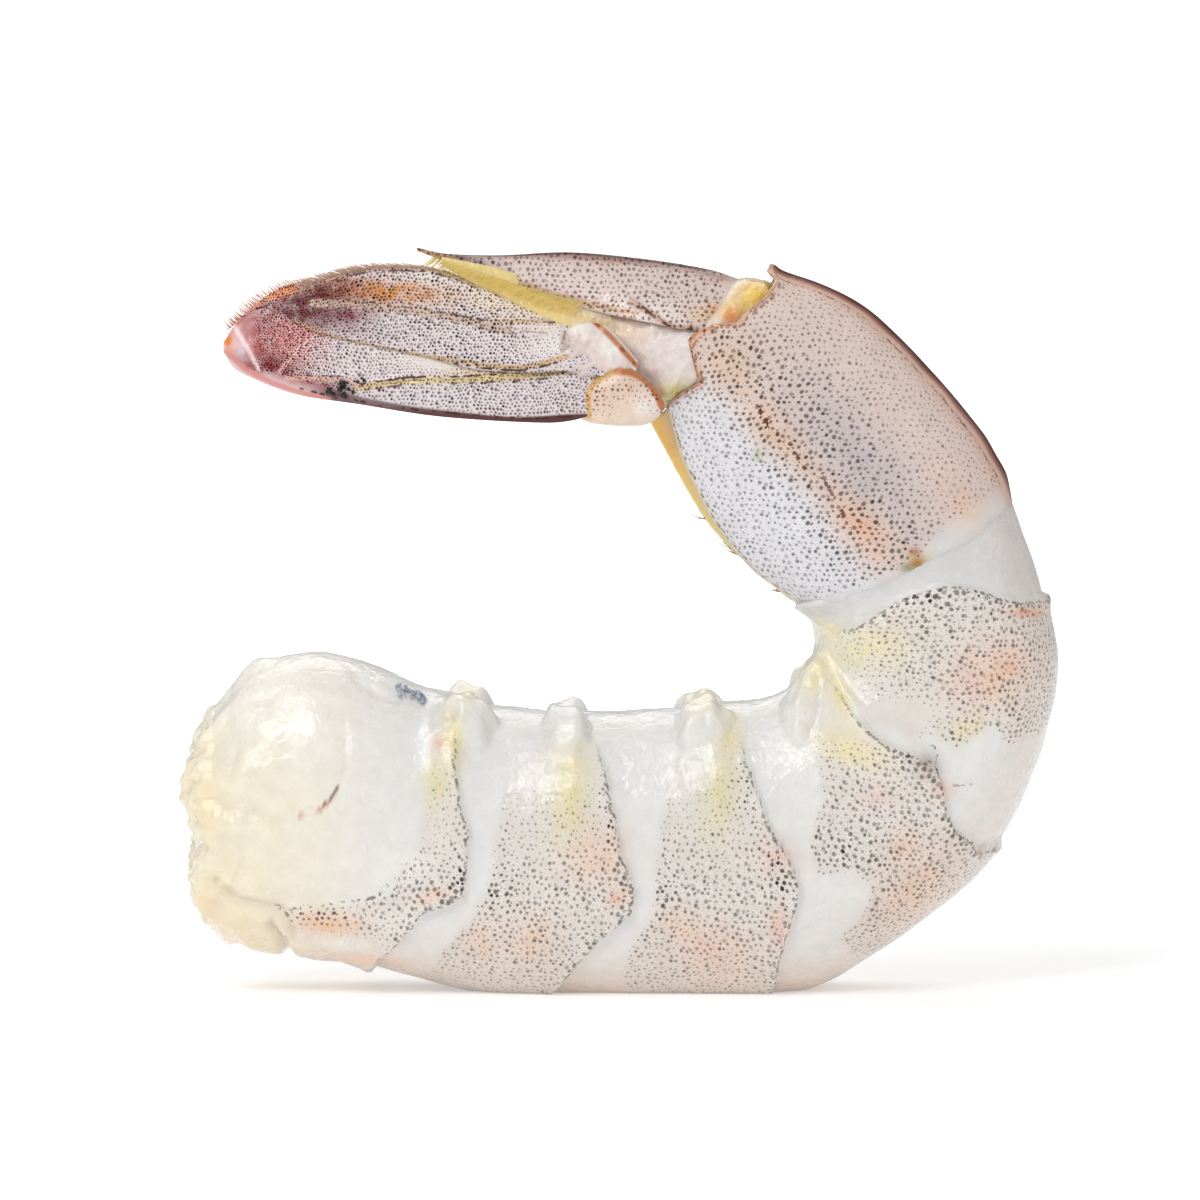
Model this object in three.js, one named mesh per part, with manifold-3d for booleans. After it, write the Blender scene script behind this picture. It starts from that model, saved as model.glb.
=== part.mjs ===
// A raw peeled shrimp tail, curled on its back: bare flesh from the cut end to the bend,
// the last shell ring round the tail end, and the folded tail fan.
// Millimetres, +Z up, near flank towards -Y, origin on the floor under the middle of the whole.
import * as THREE from "three";
import { mergeVertices } from "three/addons/utils/BufferGeometryUtils.js";
import Module from "manifold-3d";

const wasm = await Module();
wasm.setup();

// Driving dimensions.
const SHELL_WALL = 0.5;
const GAP = 0.3; // clear space between neighbouring pieces
const FLANK_SQUARE = 0.85; // below 1 makes a section's flanks fuller than an ellipse
const BACK_SQUARE = 0.92; // below 1 makes its back and belly flatter
const BELLY_TAPER = 0.2; // share of the width lost at the belly
const PLATE_STEP = 0.42; // how proud a segment's rear edge stands
const PLATE_SOFT = 0.5; // distance over which that step falls away
const PLATE_RISE = 0.9; // share of a plate's length over which it rises
const CUT_DOME = 1.1; // bulge of the cut face
const CUT_RIM = 0.35; // share of the dome over which that face's lobes rise
const TAIL_DOME = 0.25; // bulge of the flesh's end inside the shell
const FLESH_END = 14.4; // station where the flesh ends under the shell
const FLESH_SINK = 0.9; // length over which the flesh sinks before the shell's front edge
const SHELL_SLIT = 0.3; // half angle of the shell's opening along the belly, radians
const RIDGE_ANGLE = 0.16; // half angle of the belly membrane that fills the opening
const RIDGE_REACH = 1.0; // how much further that membrane stands out at the tail end
const RIDGE_LOW = 0.2; // how far it stands out at the front
const RIDGE_RISE = [12.0, 14.4]; // stations between which it grows
const CAP_ROUND = 0.7; // below 1 makes a loft's rounded ends blunter than a circle
const CAP_OUT = 0.1; // how far a small loft's rounded end stands out
const BLADE_HALF = 0.27; // half the thickness of a tail blade
const BLADE_BLUNT = 0.6; // below 1 makes a blade's margins blunter than an ellipse
const FAN_TOP = 48.5; // height from which the blades lean outwards
const FAN_LEAN = 0.36; // sideways lean for each millimetre below it

// Stations along the body, from the cut end (0) to the shell's rear spine (REAR_SPINE):
// belly and back points [x, z] on the median plane, and half the width there.
const REAR_SPINE = 15;
const BODY = [
  { belly: [-27.3, 18.9], back: [-27.3, 4.0], half: 6.5 },
  { belly: [-24.9, 21.3], back: [-25.0, 2.5], half: 7.2 },
  { belly: [-21.0, 22.4], back: [-20.8, 2.1], half: 7.5 },
  { belly: [-16.6, 21.6], back: [-17.0, 1.7], half: 7.6 },
  { belly: [-11.3, 19.6], back: [-11.9, 0.3], half: 7.6 },
  { belly: [-3.6, 18.6], back: [-3.6, -0.6], half: 7.6 },
  { belly: [5.2, 19.0], back: [6.8, -0.6], half: 7.5 },
  { belly: [9.7, 19.6], back: [12.9, 0.1], half: 7.4 },
  { belly: [11.9, 20.8], back: [19.6, 4.4], half: 7.2 },
  { belly: [12.9, 22.4], back: [25.8, 10.8], half: 7.0 },
  { belly: [13.0, 23.5], back: [28.9, 19.4], half: 6.8 },
  { belly: [12.4, 25.2], back: [28.3, 25.5], half: 6.4 },
  { belly: [10.5, 26.9], back: [27.0, 30.2], half: 6.1 },
  { belly: [6.6, 31.0], back: [23.8, 37.1], half: 5.6 },
  { belly: [3.3, 37.7], back: [16.3, 45.2], half: 4.9 },
  { belly: [2.7, 39.2], back: [9.7, 48.2], half: 4.4 },
];

// Front and rear edges of the five segment plates, and the shell's front edge: stations at the
// back, then at a fifth, two, three and four fifths of the flank, and at the belly.
const PLATES = [
  { front: [1.2, 1.4, 1.6, 3.0, 3.4, 3.6], rear: [3.05, 3.63, 4.2, 4.15, 4.05, 3.96] },
  { front: [3.84, 4.0, 4.35, 4.53, 4.6, 4.79], rear: [4.82, 5.14, 5.44, 5.34, 5.28, 5.17] },
  { front: [5.31, 5.31, 5.48, 5.55, 5.6, 5.82], rear: [6.46, 6.72, 7.03, 6.74, 6.51, 6.42] },
  { front: [7.42, 7.62, 7.16, 7.3, 7.52, 7.9], rear: [8.9, 8.84, 9.03, 8.83, 8.75, 9.0] },
  { front: [9.75, 9.55, 9.2, 9.5, 9.85, 10.12], rear: [11.13, 11.28, 11.58, 11.36, 10.88, 10.4] },
];
const SHELL_FRONT = [12.36, 12.18, 12.0, 11.83, 11.58, 11.28];

// Soft swellings on both flanks: centre [x, z], half size along and across, turn, and height.
const SWELLINGS = [
  { at: [-20.8, 17.4], size: [4.0, 4.2], turn: 0, high: 0.8 }, // the first segment's muscle
  { at: [-11.6, 16.4], size: [1.3, 3.0], turn: 0.1, high: 0.7 }, // side flaps of the segments
  { at: [-3.4, 13.4], size: [1.9, 3.4], turn: -0.1, high: 0.6 },
  { at: [6.2, 15.1], size: [1.7, 3.0], turn: -0.1, high: 0.6 },
  { at: [15.8, 18.6], size: [1.8, 3.2], turn: 0.5, high: 0.6 },
  { at: [15.6, 23.2], size: [2.6, 1.5], turn: 0.3, high: 0.5 },
  { at: [-18.0, 3.6], size: [4.4, 1.8], turn: -0.05, high: 0.45 }, // the first segment's lower flap
];

// Torn stubs of the swimming legs, in pairs along the belly: x, half length, and height.
const STUBS = [
  { x: -10.2, long: 1.3, high: 1.4 },
  { x: -3.7, long: 1.1, high: 1.2 },
  { x: 5.3, long: 1.5, high: 1.3 },
  { x: 12.0, long: 1.1, high: 0.7 },
];
const STUB_SPREAD = 3.3; // distance of a stub from the median plane
const STUB_WIDE = 1.5;
const STUB_FLANK = [0.75, 0.93]; // shares of the flank between which a stub begins

// Lobes of muscle on the cut face: [y, z], half size and height.
const FACE_LOBES = [
  { at: [-2.6, 13.8], size: 2.4, high: 1.2 },
  { at: [3.0, 15.6], size: 2.7, high: 0.9 },
  { at: [0.2, 8.2], size: 1.6, high: 0.6 },
  { at: [-3.6, 7.0], size: 1.9, high: 0.7 },
  { at: [3.7, 8.0], size: 2.3, high: 0.8 },
];

// Crags of the torn muscle: height, and the x between which they fade.
const CRAG_HIGH = 0.4;
const CRAG_FADE = [-25, -18];

// Value of an evenly spaced table at a fractional place, on a smooth curve through its entries.
function spline(table, place) {
  const last = table.length - 1;
  const i = Math.max(0, Math.min(Math.floor(place), last - 1));
  const f = place - i;
  const p1 = table[i];
  const p2 = table[i + 1];
  const p0 = i > 0 ? table[i - 1] : 2 * p1 - p2;
  const p3 = i < last - 1 ? table[i + 2] : 2 * p2 - p1;
  const bend = 2 * p0 - 5 * p1 + 4 * p2 - p3;
  const twist = 3 * p1 - 3 * p2 + p3 - p0;
  return 0.5 * (2 * p1 + (p2 - p0) * f + bend * f * f + twist * f ** 3);
}

const smooth = (from, to, value) => THREE.MathUtils.smoothstep(value, from, to);
const power = (value, exponent) => Math.sign(value) * Math.abs(value) ** exponent;
const hump = (distance) => Math.exp(-distance * distance);

// The rib of a loft at a station: its middle, half depth, direction to the back, and half width.
function ribAt(ribs, station) {
  const column = (pick) => spline(ribs.map(pick), station);
  const belly = new THREE.Vector2(column((r) => r.belly[0]), column((r) => r.belly[1]));
  const back = new THREE.Vector2(column((r) => r.back[0]), column((r) => r.back[1]));
  const toBack = back.clone().sub(belly);
  const depth = toBack.length();
  return {
    middle: belly.add(back).multiplyScalar(0.5),
    toBack: toBack.divideScalar(depth),
    deep: depth / 2,
    half: column((r) => r.half),
  };
}

// Direction along a loft at a station, in the median plane.
function heading(ribs, station) {
  const step = 0.05;
  const ahead = ribAt(ribs, station + step).middle;
  return ahead.sub(ribAt(ribs, station - step).middle).normalize();
}

// A closed loft: a sphere whose rows and columns are put where place(row share, angle) says.
// Angle 0 is the back, a quarter turn the near flank.
function loft(rows, around, place) {
  const geometry = new THREE.SphereGeometry(1, around, rows);
  const position = geometry.attributes.position;
  for (let row = 0; row <= rows; row++) {
    for (let column = 0; column <= around; column++) {
      const angle = (2 * Math.PI * (column % around)) / around;
      position.setXYZ(row * (around + 1) + column, ...place(row / rows, angle));
    }
  }
  return geometry;
}

// Share of a section's size, and station, for a row of a loft whose two ends are rounded off
// over capRows rows each.
function capped(share, rows, capRows, first, last) {
  const row = share * rows;
  const fromEnd = Math.min(row, rows - row, capRows);
  const quarter = (fromEnd / capRows) * (Math.PI / 2);
  const inner = (row - capRows) / (rows - 2 * capRows);
  const along = Math.max(0, Math.min(1, inner));
  const end = row < rows / 2 ? -1 : 1;
  return {
    station: first + (last - first) * along,
    size: Math.sin(quarter) ** CAP_ROUND,
    dome: end * Math.cos(quarter) * (fromEnd < capRows ? 1 : 0),
  };
}

// The body's stations at even steps of its length, so that the rows of a loft are evenly wide.
const BODY_STEPS = 600;
const bodyLengths = [0];
for (let i = 1; i <= BODY_STEPS; i++) {
  const now = ribAt(BODY, (REAR_SPINE * i) / BODY_STEPS);
  const before = ribAt(BODY, (REAR_SPINE * (i - 1)) / BODY_STEPS);
  bodyLengths.push(bodyLengths[i - 1] + now.middle.distanceTo(before.middle));
}
function bodyStation(share, last) {
  const wanted = share * bodyLengths[Math.round((last / REAR_SPINE) * BODY_STEPS)];
  const i = Math.max(1, bodyLengths.findIndex((length) => length >= wanted));
  const part = (wanted - bodyLengths[i - 1]) / (bodyLengths[i] - bodyLengths[i - 1]);
  return (REAR_SPINE * (i - 1 + part)) / BODY_STEPS;
}

// A body section's outline in shares of its half depth and half width.
function outline(angle) {
  const back = power(Math.cos(angle), BACK_SQUARE);
  const side = power(Math.sin(angle), FLANK_SQUARE);
  return { back, side: side * (1 - (BELLY_TAPER * (1 - back)) / 2) };
}

// A point of the body's surface, moved outwards by out, and its share of the flank's height
// from the back (0) to the belly (1).
function bodyPoint(station, angle, out) {
  const rib = ribAt(BODY, station);
  const { back, side } = outline(angle);
  const normal = new THREE.Vector2(back / rib.deep, side / rib.half).normalize();
  const along = rib.deep * back + normal.x * out;
  const across = rib.half * side + normal.y * out;
  return {
    x: rib.middle.x + rib.toBack.x * along,
    y: -across,
    z: rib.middle.y + rib.toBack.y * along,
    flank: (1 - back) / 2,
  };
}

const edgeAt = (edge, flank) => spline(edge, flank * (edge.length - 1));

// Millimetres for each whole station, at one height of the flank.
function stationLength(station, angle) {
  const step = 0.1;
  const a = bodyPoint(station - step, angle, 0);
  const b = bodyPoint(station + step, angle, 0);
  return Math.hypot(b.x - a.x, b.z - a.z) / (2 * step);
}

// How far a segment's plate stands proud: it rises towards its rear edge and falls off there.
function plateHeight(plate, station, angle, flank) {
  const rear = edgeAt(plate.rear, flank);
  const front = edgeAt(plate.front, flank);
  const rise = smooth(0, PLATE_RISE, (station - front) / (rear - front));
  const past = (station - rear) * stationLength(station, angle);
  return PLATE_STEP * rise * (1 - smooth(-PLATE_SOFT, PLATE_SOFT, past));
}

function swellingHeight(swelling, x, z) {
  const dx = x - swelling.at[0];
  const dz = z - swelling.at[1];
  const along = dx * Math.cos(swelling.turn) + dz * Math.sin(swelling.turn);
  const across = dz * Math.cos(swelling.turn) - dx * Math.sin(swelling.turn);
  return swelling.high * hump(Math.hypot(along / swelling.size[0], across / swelling.size[1]));
}

function stubHeight(stub, point) {
  const side = (Math.abs(point.y) - STUB_SPREAD) / STUB_WIDE;
  const onBelly = smooth(...STUB_FLANK, point.flank);
  return stub.high * onBelly * hump(Math.hypot((point.x - stub.x) / stub.long, side));
}

// Crags of the torn muscle near the cut end: two sets of waves that cross.
function crags(point) {
  const near = 1 - smooth(...CRAG_FADE, point.x);
  const folds = Math.sin(1.1 * point.z + 0.9 * point.y) * Math.sin(0.8 * point.y - 0.7 * point.z + 1);
  return near * CRAG_HIGH * folds;
}

// Depth by which the flesh lies back under the shell. Along the belly it stands out instead, as
// the membrane that fills the shell's opening.
function underShell(station, angle, flank) {
  const past = (station - edgeAt(SHELL_FRONT, flank)) * stationLength(station, angle);
  const covered = smooth(-GAP - FLESH_SINK, -GAP, past);
  const fromBelly = Math.abs(angle - Math.PI) / RIDGE_ANGLE;
  const reach = RIDGE_REACH * smooth(...RIDGE_RISE, station) + RIDGE_LOW;
  const ridge = (SHELL_WALL + GAP + reach) * hump(fromBelly);
  return { covered, depth: covered * (SHELL_WALL + GAP - ridge) };
}

function relief(station, angle) {
  const point = bodyPoint(station, angle, 0);
  const plates = PLATES.map((plate) => plateHeight(plate, station, angle, point.flank));
  const swells = SWELLINGS.map((swelling) => swellingHeight(swelling, point.x, point.z));
  const stubs = STUBS.map((stub) => stubHeight(stub, point));
  const proud = [...plates, ...swells, ...stubs].reduce((sum, height) => sum + height, 0);
  const { covered, depth } = underShell(station, angle, point.flank);
  return (proud + crags(point)) * (1 - covered) - depth;
}

const MEAT_ROWS = 86;
const MEAT_AROUND = 38;
const MEAT_CAP_ROWS = 5;

function meatPoint(share, angle) {
  const cap = capped(share, MEAT_ROWS, MEAT_CAP_ROWS, 0, 1);
  const station = bodyStation(cap.station, FLESH_END);
  const rib = ribAt(BODY, station);
  const point = bodyPoint(station, angle, relief(station, angle));
  let x = THREE.MathUtils.lerp(rib.middle.x, point.x, cap.size);
  const y = point.y * cap.size;
  let z = THREE.MathUtils.lerp(rib.middle.y, point.z, cap.size);
  const ahead = heading(BODY, station);
  if (cap.dome > 0) {
    x += ahead.x * TAIL_DOME * cap.dome;
    z += ahead.y * TAIL_DOME * cap.dome;
  }
  if (cap.dome < 0) {
    const lobes = FACE_LOBES.map(
      (lobe) => lobe.high * hump(Math.hypot(y - lobe.at[0], z - lobe.at[1]) / lobe.size),
    );
    const edge = smooth(0, CUT_RIM, -cap.dome);
    x -= edge * (CUT_DOME * -cap.dome + lobes.reduce((sum, high) => sum + high, 0));
  }
  return [x, y, Math.max(0, z)];
}

// The last shell ring: a wall bent round the flesh, open at both ends and along the belly. A box
// is bent into it: its x runs along the tail, its y through the wall and its z round the flank.
const SHELL_ROWS = 22;
const SHELL_AROUND = 20;
const KEEL_HIGH = 0.35;
const KEEL_ANGLE = 0.16;
// The shell's rear edge: it is drawn in, but for a spine on the back and a lobe on each flank,
// each as wide as a share of the flank's height.
const REAR_DRAWN_IN = 0.9;
const REAR_SCALE = 14.8; // station where that edge's offsets are measured
const SPINE = { reach: 0.9, wide: 0.05 };
const LOBE = { reach: 2.4, at: 0.56, wide: 0.085 };

function rearOffset(flank) {
  const spine = SPINE.reach * hump(flank / SPINE.wide);
  const lobe = LOBE.reach * hump((flank - LOBE.at) / LOBE.wide);
  return spine + lobe - REAR_DRAWN_IN;
}

function shellPoint(along, through, round, grow) {
  const angle = THREE.MathUtils.lerp(Math.PI - SHELL_SLIT, SHELL_SLIT - Math.PI, round);
  const { back } = outline(angle);
  const flank = (1 - back) / 2;
  const rearReach = (rearOffset(flank) + grow) / stationLength(REAR_SCALE, angle);
  const station = THREE.MathUtils.lerp(edgeAt(SHELL_FRONT, flank), REAR_SPINE + rearReach, along);
  const keel = KEEL_HIGH * hump(angle / KEEL_ANGLE);
  const out = THREE.MathUtils.lerp(-SHELL_WALL - grow, keel + grow, through);
  const point = bodyPoint(station, angle, out);
  return [point.x, point.y, point.z];
}

function shellGeometry(grow) {
  const geometry = new THREE.BoxGeometry(1, 1, 1, SHELL_ROWS, 1, SHELL_AROUND);
  const position = geometry.attributes.position;
  for (let i = 0; i < position.count; i++) {
    const [x, y, z] = [position.getX(i) + 0.5, position.getY(i) + 0.5, position.getZ(i) + 0.5];
    position.setXYZ(i, ...shellPoint(x, y, z, grow));
  }
  return geometry;
}

// The tail end's pieces, each a loft between a lower and an upper edge [x, z].
const JOINT = [
  { belly: [3.9, 39.9], back: [9.4, 46.9], half: 3.3 },
  { belly: [3.0, 39.3], back: [8.2, 47.4], half: 3.5 },
  { belly: [2.5, 39.4], back: [6.0, 46.6], half: 3.3 },
  { belly: [1.8, 40.6], back: [3.6, 45.8], half: 2.4 },
  { belly: [0.3, 42.5], back: [1.1, 45.8], half: 1.8 },
  { belly: [-1.5, 44.5], back: [-1.1, 45.9], half: 1.2 },
];
const TELSON = [
  { belly: [7.5, 45.4], back: [7.8, 47.5], half: 2.5 },
  { belly: [5.2, 44.3], back: [5.6, 48.3], half: 3.2 },
  { belly: [1.7, 44.8], back: [1.1, 49.0], half: 2.9 },
  { belly: [-2.5, 45.7], back: [-3.6, 49.4], half: 2.1 },
  { belly: [-7.6, 47.3], back: [-8.2, 49.2], half: 1.3 },
  { belly: [-11.6, 48.7], back: [-11.7, 49.3], half: 0.6 },
  { belly: [-13.6, 49.45], back: [-13.7, 49.7], half: 0.25 },
];
const UROPOD_BASE = [
  { belly: [2.7, 38.7], back: [2.6, 39.5], half: 0.5 },
  { belly: [2.1, 38.1], back: [1.8, 41.2], half: 1.0 },
  { belly: [0.3, 37.9], back: [0.6, 43.1], half: 1.15 },
  { belly: [-1.5, 38.1], back: [-1.1, 44.4], half: 1.05 },
  { belly: [-2.6, 38.8], back: [-2.5, 44.0], half: 0.8 },
  { belly: [-3.0, 39.8], back: [-3.0, 42.2], half: 0.5 },
];
const ENDOPOD = [
  { belly: [-3.5, 41.6], back: [-3.5, 44.5], half: 0.9 },
  { belly: [-6.2, 41.5], back: [-6.2, 45.6], half: 1 },
  { belly: [-9.7, 41.7], back: [-9.2, 47.0], half: 1 },
  { belly: [-12.9, 42.5], back: [-12.3, 48.2], half: 1 },
  { belly: [-16.3, 43.2], back: [-15.9, 48.4], half: 1 },
  { belly: [-19.6, 43.9], back: [-19.3, 47.8], half: 0.9 },
  { belly: [-21.6, 44.7], back: [-21.6, 46.9], half: 0.8 },
  { belly: [-22.6, 45.5], back: [-22.6, 46.1], half: 0.6 },
];
const EXOPOD = [
  { belly: [-3.5, 38.3], back: [-3.5, 41.1], half: 0.9 },
  { belly: [-6.2, 38.2], back: [-6.9, 42.2], half: 1 },
  { belly: [-12.3, 38.6], back: [-12.3, 43.9], half: 1 },
  { belly: [-17.6, 39.4], back: [-17.6, 46.2], half: 1 },
  { belly: [-21.6, 40.0], back: [-21.6, 47.3], half: 0.95 },
  { belly: [-24.2, 40.9], back: [-23.9, 46.4], half: 0.85 },
  { belly: [-25.8, 41.7], back: [-25.7, 44.8], half: 0.75 },
  { belly: [-26.5, 42.7], back: [-26.5, 43.6], half: 0.6 },
];
const UROPOD_SIDE = 3.15; // distance of a uropod base's middle from the median plane
const ENDOPOD_SIDE = 1.0; // distance of a blade's middle from that plane at the fan's top
const EXOPOD_SIDE = 0.2;
const BLADE_CROWN = 0.5; // how far a blade bows outwards between its margins

const CAP_ROWS = 3;

// A loft between two edges. shape(angle, rib) gives the section in shares of its half depth and
// in millimetres across, and grow makes it larger all round.
function edgeLoft(ribs, rows, around, shape, grow = 0) {
  return loft(rows, around, (share, angle) => {
    const cap = capped(share, rows, CAP_ROWS, 0, ribs.length - 1);
    const rib = ribAt(ribs, cap.station);
    const { back, side } = shape(angle, rib, cap.size);
    const deep = (rib.deep + grow) * back * cap.size;
    const middle = rib.middle;
    const ahead = heading(ribs, cap.station);
    const out = (CAP_OUT + grow) * cap.dome;
    const x = middle.x + rib.toBack.x * deep + ahead.x * out;
    const z = middle.y + rib.toBack.y * deep + ahead.y * out;
    return [x, -side(z), z];
  });
}

// A rounded section as wide as its rib says, round the plane y = -offset.
function roundShape(offset, grow) {
  return (angle, rib, size) => {
    const across = (rib.half + grow) * power(Math.sin(angle), FLANK_SQUARE) * size;
    return { back: power(Math.cos(angle), BACK_SQUARE), side: () => offset + across };
  };
}

// The telson's section: a roof with a ridge on top, drawn in underneath. Powers set how fast
// its two sides spread and fall, and how fast its underside rises.
const ROOF = { spread: 0.75, fall: 1.3, rise: 1.2, drawnIn: 0.75 };

function roofShape(grow) {
  const eaves = (2 * Math.PI) / 3;
  return (angle, rib, size) => {
    const turn = angle > Math.PI ? angle - 2 * Math.PI : angle;
    const down = Math.abs(turn) / eaves;
    const under = Math.max(0, (Math.abs(turn) - eaves) / (Math.PI - eaves));
    const across = down <= 1 ? down ** ROOF.spread : 1 - under;
    const back = down <= 1 ? 1 - 2 * down ** ROOF.fall : ROOF.drawnIn * under ** ROOF.rise - 1;
    return { back, side: () => Math.sign(turn) * across * (rib.half + grow) * size };
  };
}

// A blade's section: thin, leaning outwards from the fan's top and bowed between its margins.
function bladeShape(offset) {
  return (angle, rib, size) => {
    const across = BLADE_HALF * rib.half * power(Math.sin(angle), BLADE_BLUNT) * size;
    const crown = BLADE_CROWN * Math.sin(angle) ** 2 * size * Math.min(1, rib.deep / 2);
    return {
      back: Math.cos(angle),
      side: (z) => offset + FAN_LEAN * (FAN_TOP - z) + crown + across,
    };
  };
}

// Rows along each loft and columns round it.
const GRIDS = { joint: [18, 16], telson: [24, 18], base: [14, 14], endopod: [24, 14], exopod: [26, 14] };

const telson = (grow) => edgeLoft(TELSON, ...GRIDS.telson, roofShape(grow), grow);
const uropodBase = (grow) => edgeLoft(UROPOD_BASE, ...GRIDS.base, roundShape(UROPOD_SIDE, grow), grow);
const endopod = () => edgeLoft(ENDOPOD, ...GRIDS.endopod, bladeShape(ENDOPOD_SIDE));
const exopod = () => edgeLoft(EXOPOD, ...GRIDS.exopod, bladeShape(EXOPOD_SIDE));

// A geometry as a solid that can be cut and joined.
function solid(geometry) {
  const bare = geometry.clone();
  bare.deleteAttribute("normal");
  bare.deleteAttribute("uv");
  const merged = mergeVertices(bare, 1e-4);
  const vertProperties = new Float32Array(merged.attributes.position.array);
  const triVerts = new Uint32Array(merged.index.array);
  return new wasm.Manifold(new wasm.Mesh({ numProp: 3, vertProperties, triVerts }));
}

function geometryOf(made) {
  const { vertProperties, triVerts } = made.getMesh();
  const geometry = new THREE.BufferGeometry();
  geometry.setAttribute("position", new THREE.BufferAttribute(vertProperties, 3));
  geometry.setIndex(new THREE.BufferAttribute(triVerts, 1));
  geometry.computeVertexNormals();
  return geometry;
}

// The soft tissue between shell, telson and uropods, cut clear of what it carries.
function jointGeometry() {
  const otherBase = uropodBase(GAP).scale(1, -1, 1);
  const index = otherBase.index.array;
  for (let i = 0; i < index.length; i += 3) {
    [index[i + 1], index[i + 2]] = [index[i + 2], index[i + 1]];
  }
  return geometryOf(
    solid(edgeLoft(JOINT, ...GRIDS.joint, roundShape(0, 0)))
      .subtract(solid(shellGeometry(GAP)))
      .subtract(solid(telson(GAP)))
      .subtract(solid(uropodBase(GAP)))
      .subtract(solid(otherBase)),
  );
}

const FLESH = new THREE.MeshStandardMaterial({ color: 0xe9e6de, roughness: 0.35 });
const SHELL = new THREE.MeshStandardMaterial({ color: 0xc9bcc0, roughness: 0.4 });
const TISSUE = new THREE.MeshStandardMaterial({ color: 0xe6dfc4, roughness: 0.35 });
const BLADE = new THREE.MeshStandardMaterial({ color: 0xb9979a, roughness: 0.4 });
const BASE = new THREE.MeshStandardMaterial({ color: 0xd8c3b4, roughness: 0.4 });

const shrimp = new THREE.Group();

function addPiece(name, geometry, material, side = 1) {
  const mesh = new THREE.Mesh(geometry, material.clone());
  mesh.name = name;
  mesh.scale.y = side;
  shrimp.add(mesh);
}

addPiece("meat", loft(MEAT_ROWS, MEAT_AROUND, meatPoint), FLESH);
addPiece("tail_shell", shellGeometry(0), SHELL);
addPiece("tail_joint", jointGeometry(), TISSUE);
addPiece("telson", telson(0), SHELL);
for (const [side, sign] of [["right", 1], ["left", -1]]) {
  addPiece(`uropod_base_${side}`, uropodBase(0), BASE, sign);
  addPiece(`endopod_${side}`, endopod(), BLADE, sign);
  addPiece(`exopod_${side}`, exopod(), BLADE, sign);
}

export default shrimp;
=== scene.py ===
import math

import bmesh
import bpy
import numpy as np
from bpy.props import FloatProperty, FloatVectorProperty, IntProperty, PointerProperty
from mathutils import Matrix, Vector, noise


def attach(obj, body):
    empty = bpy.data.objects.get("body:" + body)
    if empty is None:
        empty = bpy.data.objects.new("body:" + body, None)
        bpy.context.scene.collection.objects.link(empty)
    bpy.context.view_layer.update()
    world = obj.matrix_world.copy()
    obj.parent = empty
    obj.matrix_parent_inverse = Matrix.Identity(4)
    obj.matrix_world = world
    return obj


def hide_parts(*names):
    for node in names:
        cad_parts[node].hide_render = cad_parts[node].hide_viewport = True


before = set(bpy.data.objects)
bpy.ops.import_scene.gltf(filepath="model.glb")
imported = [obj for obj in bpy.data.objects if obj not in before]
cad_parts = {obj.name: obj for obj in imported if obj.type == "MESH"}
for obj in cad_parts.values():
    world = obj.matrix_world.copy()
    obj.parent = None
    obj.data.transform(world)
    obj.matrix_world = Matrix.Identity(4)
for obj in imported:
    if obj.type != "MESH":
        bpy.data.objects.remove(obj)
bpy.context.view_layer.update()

bl_info = {
    "name": "Peeled Shrimp Tail",
    "version": (1, 0, 0),
    "blender": (4, 5, 0),
    "location": "View3D > Sidebar > Shrimp",
    "description": "Models a raw peeled shrimp tail with its last shell ring and folded tail fan",
    "category": "Add Mesh",
}

MM = 0.001


# ---------------------------------------------------------------------------------------------
# Form: the same named sizes as the solids
# ---------------------------------------------------------------------------------------------

SHELL_WALL = 0.5
GAP = 0.3  # clear space between flesh and shell
FLANK_SQUARE = 0.85  # below 1 makes a section's flanks fuller than an ellipse
BACK_SQUARE = 0.92  # below 1 makes its back and belly flatter
BELLY_TAPER = 0.2  # share of the width lost at the belly
CUT_DOME = 1.1  # bulge of the cut face
TAIL_DOME = 0.25  # bulge of the flesh's end inside the shell
FLESH_END = 14.4  # station where the flesh ends under the shell
REAR_SPINE = 15.0  # station of the shell's rear spine
SHELL_SLIT = 0.3  # half angle of the shell's opening along the belly
RIDGE_ANGLE = 0.16  # half angle of the belly membrane that fills the opening
RIDGE_REACH = 1.0  # how much further that membrane stands out at the tail end
RIDGE_LOW = 0.2  # how far it stands out at the front
RIDGE_RISE = (12.0, 14.4)  # stations between which it grows
CAP_ROUND = 0.7  # below 1 makes a loft's rounded ends blunter than a circle
CAP_OUT = 0.1  # how far a small loft's rounded end stands out
BLADE_BLUNT = 0.6  # below 1 makes a blade's margins blunter than an ellipse
FAN_TOP = 48.5  # height from which the blades lean outwards
FAN_LEAN = 0.36  # sideways lean for each millimetre below it
UROPOD_SIDE = 3.15  # distance of a uropod base's middle from the median plane
ENDOPOD_SIDE = 1.0  # distance of a blade's middle from that plane at the fan's top
EXOPOD_SIDE = 0.2
BLADE_CROWN = 0.5  # how far a blade bows outwards between its margins

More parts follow.
